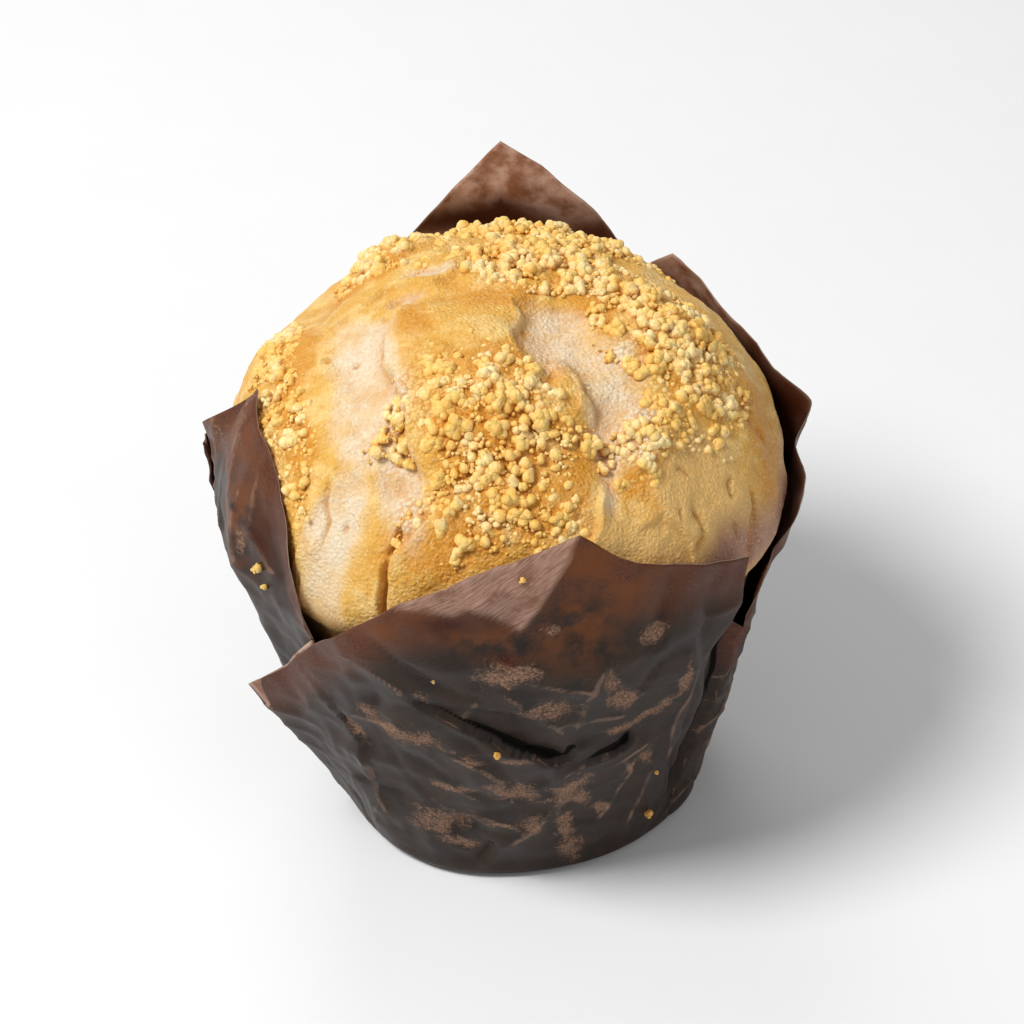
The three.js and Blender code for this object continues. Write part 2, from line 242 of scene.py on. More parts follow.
WET_SPOTS = (
    (213, 60.5, 2.2, 3.6, -12), (-100, 61.5, 3.4, 1.4, 0), (-89, 55.5, 1.2, 0.9, 0),
    (96, 73.5, 15, 3.0, 0), (70, 72, 8, 3.4, 0), (14, 62, 9, 8, 0),
)

# Patches where the wrap's inside is made darker
INSIDE_DARK_PATCHES = ((8, 60, 30, 30, 0),)

# Soft swells and hollows of the crown in plan: x, y, half sizes, turn, rise, and for the
# swells that carry crumbs how many, their smallest and their largest radius
SWELLS = (
    (-6, -21, 12, 8, 0, 3.0, 30, 1.1, 2.1),
    (-10, -7, 9, 6, 0, 1.8, 0, 0, 0),
    (21, -5, 8, 12, 12, 2.8, 32, 1.3, 2.6),
    (18, -22, 3, 8, -35, 1.4, 8, 1.1, 1.9),
    (2, 10, 13, 7, 0, 1.2, 22, 1.2, 2.2),
    (3, 26, 16, 8, 0, 1.0, 12, 1.4, 2.4),
    (-34, -14, 3.5, 11, 12, 0.8, 10, 1.1, 1.8),
    (-19, 17, 7, 5, 20, 2.0, 10, 1.1, 2.0),
    (-35, 3, 2.5, 7, 0, 0.3, 6, 1.0, 1.6),
    (-4, -33, 12, 4, 0, 0.6, 8, 0.9, 1.5),
    (34, -8, 5, 14, 0, 1.0, 0, 0, 0),
    (-23, -12, 5, 10, 8, -1.3, 0, 0, 0),
    (-16, -29, 4, 6, 25, -1.4, 0, 0, 0),
    (6, -8, 6, 6, 0, -1.8, 0, 0, 0),
    (13, -26, 4, 7, 10, -1.6, 0, 0, 0),
    (16, 15, 7, 6, 0, -1.2, 0, 0, 0),
    (-30, 13, 6, 8, 0, -2.8, 0, 0, 0),
)
# Crumbs that have dropped on the wrap's outside: bearing, height and radius
LOOSE_CRUMBS = (
    (-92, 35, 0.5), (-49, 8, 0.6), (-86, 69, 0.45), (-51, 20, 0.4), (-104, 49, 0.4),
    (213, 56, 0.6), (212, 54.6, 0.5), (214.6, 53.6, 0.4), (6, 53, 0.7),
)
# Strewn grains: how many for a heap's half sizes multiplied, their smallest and largest radius,
# and how far they reach, in heap sizes
STREWN_GRAINS = (4.4, 0.36, 0.90, 1.28)
STREWN_DUST = (11, 0.18, 0.36, 1.4)
GOLDEN_TURN = 2.39996
CHUNK = (10, -25, 2.2)

# Torn edges of the crust in plan: the line, how far its left side stands up, how wide the step
# is, and how far behind it the crust runs back down
CRUST_EDGES = (
    (((-12, -32), (-14.5, -27), (-16, -21), (-17, -16), (-19.3, -11), (-18.6, -6.6),
      (-17.4, -2.6), (-14.3, -2.2), (-11.5, 0)), -1.3, 0.5, 6),
    (((-24, 1.5), (-21.3, 3.8), (-19.3, 5.2), (-15.6, 5.3), (-12.4, 3.7), (-9.8, 5.4),
      (-8.4, 8.5), (-6.3, 13)), 0.7, 0.35, 4),
    (((-31, -2.5), (-29.1, -0.7), (-24.8, 1.5), (-20.6, 2.4)), 0.45, 0.3, 3),
    (((2, -15), (0.2, -12), (-1, -9), (0.4, -6), (-0.4, -2.8), (3, -1.5)), 1.0, 0.5, 4),
    (((11, -23), (9.8, -20), (8.1, -16.1), (6.2, -13), (2.6, -14.8)), 1.0, 0.6, 4),
    (((-8, -33), (-11, -33.4), (-15, -35), (-19.2, -35.4), (-20, -38)), 1.0, 0.35, 4),
    (((27, -33), (24, -30), (20, -29.5), (16, -33)), -0.5, 0.4, 3),
    (((7, -37), (9.5, -35), (11, -33), (11.5, -29)), -1.0, 0.4, 3),
)

# Cracks in the crust in plan: the line, depth and half width
CRUST_CRACKS = (
    (((-12.6, -10.2), (-10.8, -11.6), (-9.1, -12.4), (-7.6, -14.2), (-6.6, -14)), 0.7, 0.28),
    (((-16, -33.6), (-18, -35.4), (-18.4, -37), (-19.4, -39)), 1.6, 0.5),
    (((32.3, -18), (32.7, -19), (33.1, -20), (32.6, -21.6), (33.4, -23)), 0.8, 0.35),
    (((24, -26.7), (25, -27.2), (25.6, -28.4), (24.9, -30)), 0.6, 0.3),
    (((29.6, -19.6), (29.2, -21), (29.9, -22)), 0.5, 0.25),
    (((21.5, -24), (22.6, -23.4), (23.4, -24.2)), 0.5, 0.25),
    (((-26, -25), (-27.6, -27), (-27, -29), (-28.4, -31)), 0.6, 0.3),
    (((-31, -22), (-30, -24.4), (-31.6, -26)), 0.5, 0.3),
    (((-1.6, 1), (1.4, 0.4), (4.4, 1), (6.6, 0)), 0.6, 0.3),
)

# Open pores of the crust in plan: x, y and radius
CRUST_PORES = (
    (-19.2, -1.9, 0.5), (-24, -8.3, 0.5), (-27.9, -6, 0.55), (-3.5, -9.9, 0.4),
    (-35.5, 1.6, 0.5), (-28, 3.8, 0.4), (34, -10.1, 0.75), (30.6, -23.6, 0.4),
    (22.2, -28.4, 0.35), (-24.6, -31, 0.4),
)

# Patches of the crust in plan: x, y, half sizes and turn
PALE_PATCHES = (
    (-22.5, -9, 4.6, 8.5, 4), (-20.5, -19, 5, 8, 14), (-16.5, -29.5, 3, 6.5, 26),
    (5, -8, 4.8, 6, 0), (12.5, -13, 4.5, 5, 0), (14.5, -20.5, 4.2, 5.5, 0),
    (12.6, -28, 2, 4, 0), (-12.8, 7.2, 3.4, 1.6, -8), (-16.5, 1.6, 2.6, 1.6, 10),
    (-26, -30, 5, 4, 30),
)
GOLDEN_PATCHES = (
    (-32, -4, 3.5, 8, -8), (-25, 11, 10, 3.5, 14), (-14.5, -6, 2.4, 4.6, 0),
    (-4, -1, 8, 3, -4), (10.5, 0, 4, 3, -30), (-3, -14.5, 7, 3, 0),
    (18, -26, 3.4, 6, -42), (-31, -18, 2.2, 7, 8), (-11.5, -36, 6, 2.4, -8),
    (0, -30, 11, 6, 0), (-4, -23, 9, 5, 0), (35, -9, 4, 9, 6), (22, -8, 5, 10, 12),
)
TAN_PATCHES = ((27, -25, 9, 8, -30), (19, -34, 9, 4, 8))

CROWN_CELLS = 296
WALL_ROWS = 96
RANDOM_CREASES = 150
CROWN_SHARE = 0.9
CREVICE_CELL = 0.5
CROWN_MAP_CELLS = 280
CROWN_MAP_RADIUS = 40
CORE_SHARE = 0.6
CLUMP_GRAIN_SIZES = (0.4, 0.95)
CRUMB_CLEARANCE = 1.1
GRAIN_UNEVENNESS = 0.24
SHEET_SPACING = 0.75
SHEET_STAND_OUT = 0.15
LOWEST_LAYER = 0.15
LAYER_STEP = 0.2
WRAP_GAP = 0.5
PAPER_BUMP = 0.00012

# Map of how far in the wrap comes, in cells of so many degrees and millimetres
REACH_STEP = 1.5
REACH_COLUMNS = 240
REACH_ROWS = 80

# Studio in metres: name, place, size and power in watts of each light, and where they aim
STUDIO_LIGHTS = (
    ("key", (-0.5, -0.25, 0.85), 0.38, 9.0),
    ("fill", (0.7, -0.6, 0.5), 0.9, 1.5),
    ("back", (-0.2, 0.8, 0.7), 0.6, 2.5),
)
LIGHT_AIM = (0, 0, 0.05)
ROOM_LIGHT = 0.30
FLOOR_SIZE = 6

# Camera: its lens and sensor, and the place it looks at, in millimetres
LENS = 112
SENSOR_WIDTH = 36
CAMERA_TARGET = (-1.0, 0.0, 48.5)

TAN_CRUST = (0.84, 0.52, 0.17, 1)
# Darker brown for the low right side of the crown
LOW_RIGHT_BROWN = (0.40, 0.20, 0.13, 1)
SIDE_CRUMB = (0.62, 0.36, 0.12, 1)
GRAIN_LIGHT = (0.98, 0.78, 0.41, 1)
DEEP_GOLD = (0.70, 0.285, 0.012, 1)
GREASY_BROWN = (0.040, 0.024, 0.017, 1)
RIM_BAND = (0.075, 0.025, 0.013, 1)
RIM_BAND_LIGHT = (0.15, 0.053, 0.027, 1)
RUSTY_PAPER = (0.155, 0.048, 0.013, 1)
FIBRE_GREY = (0.085, 0.068, 0.060, 1)
# Painted shade: the near-black colour of the folds' slits
PAINTED_FOLD_SHADE = (0.004, 0.003, 0.002, 1)
DRY_FLAP = (0.22, 0.105, 0.072, 1)
DRY_FLAP_LIGHT = (0.52, 0.32, 0.235, 1)
DRY_PAPER = (0.095, 0.048, 0.031, 1)
# Lighter specks of dry paper, and the painted highlight along the raised creases
PALE_DRY_PAPER_AND_HIGHLIGHT = (0.36, 0.215, 0.140, 1)
SOAKED_PAPER = (0.05, 0.011, 0.003, 1)
INSIDE_BROWN = (0.26, 0.105, 0.050, 1)
INSIDE_PINK = (0.58, 0.37, 0.28, 1)
INSIDE_GREY = (0.22, 0.17, 0.145, 1)
INSIDE_DARKER = (0.085, 0.028, 0.012, 1)
UNDER_CRUST = {"Subsurface_Radius": (0.5, 0.38, 0.24), "Subsurface_Scale": 0.001}
EDGE_DARK = (0.16, 0.10, 0.07, 1)
EDGE_LIGHT = (0.34, 0.25, 0.19, 1)


# Seeded numbers and noise

def seeded_draw(seed):
    """Draws numbers from 0 to 1, the same rule as the solids use."""
    state = seed
    while True:
        state = (state * 1664525 + 1013904223) % 4294967296
        yield state / 4294967296


def lattice_value(cells, seed):
    """A repeatable number from 0 to 1 for each whole-numbered cell."""
    i, j, k = (cells[..., n].astype(np.int64) for n in range(3))
    mix = (i * 73856093) ^ (j * 19349663) ^ (k * 83492791) ^ (seed * 2654435761)
    mix &= 0xFFFFFFFF
    mix = ((mix ^ (mix >> 15)) * 2246822519) & 0xFFFFFFFF
    mix = ((mix ^ (mix >> 13)) * 3266489917) & 0xFFFFFFFF
    return ((mix ^ (mix >> 16)) & 0xFFFFFF) / 0xFFFFFF


def soft_noise(points, scale, seed):
    """Smooth noise from -1 to 1 with features about the given size across."""
    place = points / scale
    base = np.floor(place)
    part = place - base
    fade = part ** 3 * (part * (part * 6 - 15) + 10)
    total = np.zeros(points.shape[:-1])
    for corner in np.ndindex(2, 2, 2):
        offset = np.array(corner)
        weight = np.prod(np.where(offset, fade, 1 - fade), axis=-1)
        total += weight * lattice_value(base + offset, seed)
    return total * 2 - 1


def layered_noise(points, scale, seed, layers=3):
    total = np.zeros(points.shape[:-1])
    for layer in range(layers):
        total += soft_noise(points, scale / 2 ** layer, seed + layer) / 2 ** layer
    return total


def cell_distance(points, scale, seed):
    """Distance to the nearest scattered point, in cell sizes."""
    place = points / scale
    base = np.floor(place)
    nearest = np.full(points.shape[:-1], 9.0)
    for step in np.ndindex(3, 3, 3):
        cell = base + np.array(step) - 1
        spot = np.stack([lattice_value(cell, seed + n) for n in range(3)], axis=-1)
        gap = np.linalg.norm(cell + spot - place, axis=-1)
        nearest = np.minimum(nearest, gap)
    return nearest


def turned(x, y, turn):
    """Places as seen along axes turned by so many degrees."""
    angle = math.radians(turn)
    return x * math.cos(angle) + y * math.sin(angle), y * math.cos(angle) - x * math.sin(angle)


def half_turn(bearing):
    """Bearings brought into the range from -180 to 180."""
    return (bearing + 180) % 360 - 180


def smoothstep(low, high, value):
    share = np.clip((value - low) / (high - low), 0, 1)
    return share * share * (3 - 2 * share)


def line_distance(x, y, line):
    """Distance to a polyline in the plane, the side it lies on, the share along the line, and
    the way from the line to each place."""
    line = np.asarray(line, float)
    best = np.full(np.shape(x), 1e9)
    side = np.zeros(np.shape(x))
    share = np.zeros(np.shape(x))
    away = np.zeros((2,) + np.shape(x))
    lengths = np.linalg.norm(np.diff(line, axis=0), axis=1)
    done = np.concatenate([[0], np.cumsum(lengths)])
    for a, b, length, start in zip(line[:-1], line[1:], lengths, done):
        way = (b - a) / length
        along = np.clip((x - a[0]) * way[0] + (y - a[1]) * way[1], 0, length)
        dx = x - a[0] - way[0] * along
        dy = y - a[1] - way[1] * along
        gap = np.hypot(dx, dy)
        closer = gap < best
        best = np.where(closer, gap, best)
        side = np.where(closer, np.sign(way[0] * dy - way[1] * dx), side)
        share = np.where(closer, (start + along) / done[-1], share)
        away = np.where(closer, np.stack([dx, dy]) / np.maximum(gap, 1e-6), away)
    return best, side, share, away


# Meshes and materials

def new_piece(name, verts, faces, masks, materials):
    """Makes a smooth mesh piece from millimetre points and lets it ride on the muffin."""
    mesh = bpy.data.meshes.new(name)
    faces = np.asarray(faces)
    corners = faces.shape[1]
    mesh.vertices.add(len(verts))
    mesh.vertices.foreach_set("co", (np.asarray(verts, np.float32) * MM).ravel())
    mesh.loops.add(faces.size)
    mesh.loops.foreach_set("vertex_index", faces.ravel().astype(np.int32))
    mesh.polygons.add(len(faces))
    mesh.polygons.foreach_set("loop_start", np.arange(0, faces.size, corners, dtype=np.int32))
    mesh.update(calc_edges=True)
    mesh.polygons.foreach_set("use_smooth", np.full(len(faces), True))
    for label, values in masks.items():
        layer = mesh.attributes.new(label, "FLOAT", "POINT")
        layer.data.foreach_set("value", np.asarray(values, np.float32).ravel())
    for material in materials:
        mesh.materials.append(material)
    mesh.validate()
    piece = bpy.data.objects.new(name, mesh)
    bpy.context.scene.collection.objects.link(piece)
    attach(piece, "root")
    return piece


def grid_faces(columns, rows, closed):
    """Quads of a grid whose points run row by row within each column."""
    count = columns if closed else columns - 1
    column = np.arange(count)[:, None]
    row = np.arange(rows - 1)[None, :]
    after = (column + 1) % columns
    a = column * rows + row
    b = after * rows + row
    return np.stack([a, b, b + 1, a + 1], axis=-1).reshape(-1, 4)


class Nodes:
    """A short way to add and link shader nodes."""

    def __init__(self, tree):
        self.tree = tree

    def add(self, kind, settings=None, **sockets):
        node = self.tree.nodes.new(kind)
        for key, value in (settings or {}).items():
            setattr(node, key, value)
        return self.fill(node, **sockets)

    def fill(self, node, **sockets):
        for key, value in sockets.items():
            self.feed(node.inputs[key.replace("_", " ")], value)
        return node

    def feed(self, socket, value):
        if isinstance(value, bpy.types.NodeSocket):
            self.tree.links.new(value, socket)
        else:
            socket.default_value = value

    def math(self, operation, first, second=0.0, clamp=False):
        node = self.add("ShaderNodeMath", {"operation": operation, "use_clamp": clamp})
        self.feed(node.inputs[0], first)
        self.feed(node.inputs[1], second)
        return node.outputs[0]

    def mix(self, share, first, second):
        node = self.add("ShaderNodeMix", {"data_type": "RGBA"})
        self.feed(node.inputs[0], share)
        self.feed(node.inputs[6], first)
        self.feed(node.inputs[7], second)
        return node.outputs[2]

    def spread(self, value, low, high, new_low=0.0, new_high=1.0):
        node = self.add("ShaderNodeMapRange", {"interpolation_type": "SMOOTHSTEP"})
        for index, item in enumerate((value, low, high, new_low, new_high)):
            self.feed(node.inputs[index], item)
        return node.outputs[0]

    def noise(self, place, scale, detail=4.0, roughness=0.6):
        node = self.add(
            "ShaderNodeTexNoise", Vector=place, Scale=scale, Detail=detail, Roughness=roughness
        )
        return node.outputs["Fac"]

    def attribute(self, name, output="Fac"):
        return self.add("ShaderNodeAttribute", {"attribute_name": name}).outputs[output]

    def place(self):
        """The place on the object in millimetres."""
        mapping = self.add("ShaderNodeMapping", Vector=self.on_object())
        mapping.inputs["Scale"].default_value = (1000, 1000, 1000)
        return mapping.outputs["Vector"]

    def streaks(self, turn, length, width):
        """A place whose noise runs in streaks of this length and width, turned round +Z."""
        mapping = self.add(
            "ShaderNodeMapping", {"vector_type": "TEXTURE"}, Vector=self.on_object(),
            Rotation=(0, 0, turn), Scale=(length, width, width),
        )
        return mapping.outputs["Vector"]

    def on_object(self):
        return self.add("ShaderNodeTexCoord").outputs["Object"]

    def bump(self, height, strength, distance):
        node = self.add("ShaderNodeBump", Strength=strength, Distance=distance, Height=height)
        return node.outputs["Normal"]

    def group(self, name, make, **sockets):
        """Places a shared node group, made at its first use, and returns its outputs."""
        node = self.add("ShaderNodeGroup", {"node_tree": bpy.data.node_groups.get(name) or make()})
        return self.fill(node, **sockets).outputs


def new_material(name):
    material = bpy.data.materials.new(name)
    material.use_nodes = True
    nodes = Nodes(material.node_tree)
    shader = material.node_tree.nodes["Principled BSDF"]
    return material, nodes, shader


def new_group(name, share):
    """A node group that takes a place and one share, with its nodes and its entry."""
    group = bpy.data.node_groups.new(name, "ShaderNodeTree")
    for label, kind in (("Place", "NodeSocketVector"), (share, "NodeSocketFloat")):
        group.interface.new_socket(label, in_out="INPUT", socket_type=kind)
    return group, Nodes(group), group.nodes.new("NodeGroupInput").outputs


def give_out(group, **results):
    """Ends a node group: its results by name."""
    for label in results:
        group.interface.new_socket(label, in_out="OUTPUT", socket_type="NodeSocketFloat")
    Nodes(group).fill(group.nodes.new("NodeGroupOutput"), **results)
    return group


def opaque(colour):
    return tuple(colour) + (1,)


# Cake form

def swell_share(x, y, swell):
    cx, cy, rx, ry, turn = swell[:5]
    across, along = turned(x - cx, y - cy, turn)
    return np.exp(-(across / rx) ** 2 - (along / ry) ** 2)


def crown_relief(x, y):
    return sum(swell[5] * swell_share(x, y, swell) for swell in SWELLS)


def crown_normal(points):
    normal = np.stack([
        (points[..., 0] - LEAN) / CROWN_RADIUS ** 2,
        points[..., 1] / CROWN_RADIUS ** 2,
        np.maximum(points[..., 2] - CROWN_LEVEL, 0) / CROWN_RISE ** 2,
    ], axis=-1)
    return normal / np.linalg.norm(normal, axis=-1, keepdims=True)


def crown_point(x, y):
    """The crown's surface straight above plan positions, and its outward way there."""
    x, y = np.asarray(x, float), np.asarray(y, float)
    spread = np.minimum(np.hypot(x - LEAN, y) / CROWN_RADIUS, 0.999)
    points = np.stack([x, y, CROWN_LEVEL + CROWN_RISE * np.sqrt(1 - spread ** 2)], axis=-1)
    normal = crown_normal(points)
    return points + normal * crown_relief(x, y)[..., None], normal


# Wrap form

def lean_at(height):
    return LEAN * np.minimum(height / CROWN_LEVEL, 1)


def wall_radius(bearing, height):
    plain = np.minimum(FOOT_RADIUS + WALL_FLARE * height, MOUTH_RADIUS)
    rounding = FOOT_ROUNDING * np.maximum(1 - height / FOOT_ROUNDING, 0) ** 2
    radius = plain - rounding
    for at, width, level, tall, rise in WALL_SWELLS:
        away = half_turn(bearing - at)
        radius = radius + rise * np.exp(-(away / width) ** 2 - ((height - level) / tall) ** 2)
    return radius


def even_curve(marks, values, at):
    """A curve through the values that doesn't overshoot between them."""
    steps = np.diff(marks)
    slopes = np.diff(values) / steps
    bends = np.zeros(len(values))
    bends[0], bends[-1] = slopes[0], slopes[-1]
    same = slopes[:-1] * slopes[1:] > 0
    mean = 2 * slopes[:-1] * slopes[1:] / np.where(same, slopes[:-1] + slopes[1:], 1)
    bends[1:-1] = np.where(same, mean, 0)
    i = np.clip(np.searchsorted(marks, at, side="right") - 1, 0, len(steps) - 1)
    t = (at - marks[i]) / steps[i]
    low = values[i] * (1 + 2 * t) * (1 - t) ** 2 + bends[i] * steps[i] * t * (1 - t) ** 2
    high = values[i + 1] * t * t * (3 - 2 * t) - bends[i + 1] * steps[i] * t * t * (1 - t)
    return low + high


def sheet_columns(stations, spacing):
    """Columns of a sheet about the given spacing apart: the stations' values in between."""
    stations = np.array(stations, float)
    angle = np.radians(stations[:, 0])
    flat = np.stack([stations[:, 1] * np.cos(angle), stations[:, 1] * np.sin(angle)], axis=-1)
    marks = np.concatenate([[0], np.cumsum(np.linalg.norm(np.diff(flat, axis=0), axis=1))])
    count = max(int(round(marks[-1] / spacing)), 3)
    at = np.linspace(0, marks[-1], count + 1)
    at = np.unique(np.round(np.concatenate([at, marks]), 6))
    columns = [even_curve(marks, stations[:, n], at) for n in range(6)]
    columns[2] = np.interp(at, marks, stations[:, 2])
    return np.stack(columns, axis=-1)


def wall_points(columns, up):
    """Points of the wall for columns by shares of their height, with their bearings."""
    rim, radius, height, foot, bend, inset = (columns[:, n, None] for n in range(6))
    z = height * up
    bearing = foot + (rim - foot) * up
    offset = (radius - wall_radius(rim, height)) * up ** bend - inset * (1 - up ** 6)
    reach = wall_radius(bearing, z) + offset
    angle = np.radians(bearing)
    points = np.stack([
        reach * np.cos(angle) + lean_at(z), reach * np.sin(angle), z + 0 * reach,
    ], axis=-1)
    return points, bearing


GUIDE_COLUMNS = np.concatenate([sheet_columns(stations, 2.0) for stations in SHEETS])
PAPER_GUIDE = wall_points(GUIDE_COLUMNS, np.linspace(0.5, 1, 24)[None, :])[0].reshape(-1, 3)


# Settings

def colour(name, description, default):
    return bpy.props.FloatVectorProperty(
        name=name, description=description, subtype="COLOR", size=3, min=0, max=1, default=default,
    )


class MuffinCakeSettings(bpy.types.PropertyGroup):
    golden: colour(
        "Golden crust", "Colour of the well-baked crust", (0.80, 0.435, 0.070),
    )
    pale: colour(
        "Pale crust", "Colour of the smooth patches between the crumbs", (0.86, 0.745, 0.56),
    )
    light: colour(
        "Light crust", "Colour of the lightly baked crust", (0.90, 0.60, 0.20),
    )
    topping: colour(
        "Crumb topping", "Colour of the crumbs on the crown", (0.96, 0.61, 0.165),
    )
    # Painted shade: the deep orange put in the crevices between the crumbs
    crevice_shade: colour(
        "Crevices", "Colour deep between the crumbs", (0.61, 0.24, 0.014),
    )


class MuffinPaperSettings(bpy.types.PropertyGroup):
    outside: colour(
        "Paper outside", "Colour of the dry outside of the paper", (0.022, 0.0155, 0.0125),
    )
    inside: colour(
        "Paper inside", "Colour of the greasy inside of the paper", (0.070, 0.020, 0.007),
    )
    thickness: bpy.props.FloatProperty(
        name="Paper thickness", description="Thickness of the folded sheet",
        subtype="DISTANCE", unit="LENGTH", min=0.00005, max=0.0006, default=0.00014,
    )


class MuffinStudioSettings(bpy.types.PropertyGroup):
    floor: colour(
        "Floor", "Colour of the pale floor", (0.86, 0.86, 0.86),
    )
    distance: bpy.props.FloatProperty(
        name="Camera distance", description="From the camera to the middle of the muffin",
        subtype="DISTANCE", unit="LENGTH", min=0.2, max=3, default=0.48,
    )
    elevation: bpy.props.FloatProperty(
        name="Camera elevation", description="Angle of the camera above the table",
        subtype="ANGLE", unit="ROTATION", min=0, max=1.57, default=math.radians(38),
    )


# Pieces

class MUFFIN_OT_paper_wrap(bpy.types.Operator):
    """Fold the sheet of paper round the cake, with its creases, tucks and grease"""

    bl_idname = "muffin.paper_wrap"
    bl_label = "Paper wrap"

    def execute(self, context):
        settings = context.scene.muffin_paper
        columns, points, bearing, layer_height, creases = wrap_surface()
        base_share = np.concatenate([[0.004], np.linspace(0.08, 0.97, 12)])
        base = points[:, :1] * base_share[:, None]
        base[..., 2] = layer_height[:, None]
        verts = np.concatenate([base, points], axis=1)
        base_bearing = np.repeat(bearing[:, :1], len(base_share), axis=1)
        bearing = np.concatenate([base_bearing, bearing], axis=1)
        height = verts[..., 2]
        rim_gap = columns[:, 2, None] - height
        masks = paper_masks(bearing, height)
        masks["rim_gap"] = rim_gap
        for label, values in creases.items():
            base_values = np.repeat(values[:, :1], len(base_share), axis=1)
            masks[label] = np.concatenate([base_values, values], axis=1)
        masks = {label: values.reshape(-1) for label, values in masks.items()}
        faces = grid_faces(*height.shape, closed=True)
        materials = (paper_outside(settings), paper_inside(settings), paper_edge())
        verts = verts.reshape(-1, 3)
        piece = new_piece("paper_sheet", verts, faces, masks, materials)
        place = piece.data.attributes.new("sheet_place", "FLOAT_VECTOR", "POINT")
        flat = np.stack([around(bearing), height, 0 * height], axis=-1).astype(np.float32)
        place.data.foreach_set("vector", flat.ravel())
        thicken = piece.modifiers.new("Paper thickness", "SOLIDIFY")
        thicken.thickness = settings.thickness
        thicken.offset = -1
        thicken.material_offset = 1
        thicken.material_offset_rim = 2
        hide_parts("paper_wrap")
        return {"FINISHED"}


@functools.cache
def wrap_surface():
    """The wrap's sheet column by column: its stations, points, bearings, layers and creases."""
    columns = np.concatenate([sheet_columns(stations, SHEET_SPACING)[:-1] for stations in SHEETS])
    up = np.concatenate([[0, 0.008, 0.018, 0.03], np.linspace(0.045, 1, WALL_ROWS)])
    points, bearing = wall_points(columns, up[None, :])
    angle = np.radians(bearing)
    outward = np.stack([np.cos(angle), np.sin(angle), 0 * angle], axis=-1)
    sideways = np.stack([-np.sin(angle), np.cos(angle), 0 * angle], axis=-1)
    relief, hang, crease_gap, slit_shade_depth = paper_relief(bearing, points[..., 2])
    firm = smoothstep(0.3, 5, points[..., 2])
    points += outward * (SHEET_STAND_OUT + relief * firm)[..., None]
    points += sideways * (hang[0] * firm)[..., None]
    points[..., 2] += hang[1] * firm
    layer_height = LOWEST_LAYER + LAYER_STEP * columns[:, 5]
    points[..., 2] = np.maximum(points[..., 2], layer_height[:, None])
    return columns, points, bearing, layer_height, {"crease_gap": crease_gap, "slit_shade_depth": slit_shade_depth}


def kept_inside_wrap(points):
    """Points of the cake drawn in where they would touch the wrap."""
    wrap = wrap_surface()[1].reshape(-1, 3)
    reach = np.full((REACH_COLUMNS, REACH_ROWS), np.inf)

    def cell(places):
        out = places[..., 0] - lean_at(places[..., 2])
        angle = np.degrees(np.arctan2(places[..., 1], out)) % 360
        column = (angle / REACH_STEP).astype(int) % REACH_COLUMNS
        row = np.clip((places[..., 2] / REACH_STEP).astype(int), 0, REACH_ROWS - 1)
        return column, row, np.hypot(out, places[..., 1])

    column, row, radius = cell(wrap)
    np.minimum.at(reach, (column, row), radius)
    beside = np.minimum(np.roll(reach, 1, 0), np.roll(reach, -1, 0))
    reach = np.minimum(reach, beside)
    column, row, radius = cell(points)
    limit = reach[column, row] - WRAP_GAP
    share = np.where(radius > limit, limit / np.maximum(radius, 1e-6), 1)
    middle = lean_at(points[..., 2])
    drawn = points.copy()
    drawn[..., 0] = middle + (points[..., 0] - middle) * share
    drawn[..., 1] = points[..., 1] * share
    return drawn


def around(bearing):
    """Millimetres round the wrap for a bearing."""
    return np.radians(bearing) * AROUND_RADIUS


def nearest_turn(bearing, line):
    """The bearings brought within half a turn of a line's middle."""
    middle = np.mean([spot[0] for spot in line])
    return half_turn(bearing - middle) + middle


def mark_distance(bearing, height, line):
    """Distance, side and share along a line given in bearings and heights."""
    x = around(nearest_turn(bearing, line))
    flat = [(around(spot[0]), spot[1]) for spot in line]
    wave = 0.35 * soft_noise(np.stack([x, height, 0 * x], axis=-1), 3.0, 71)
    return line_distance(x, height + wave, flat)


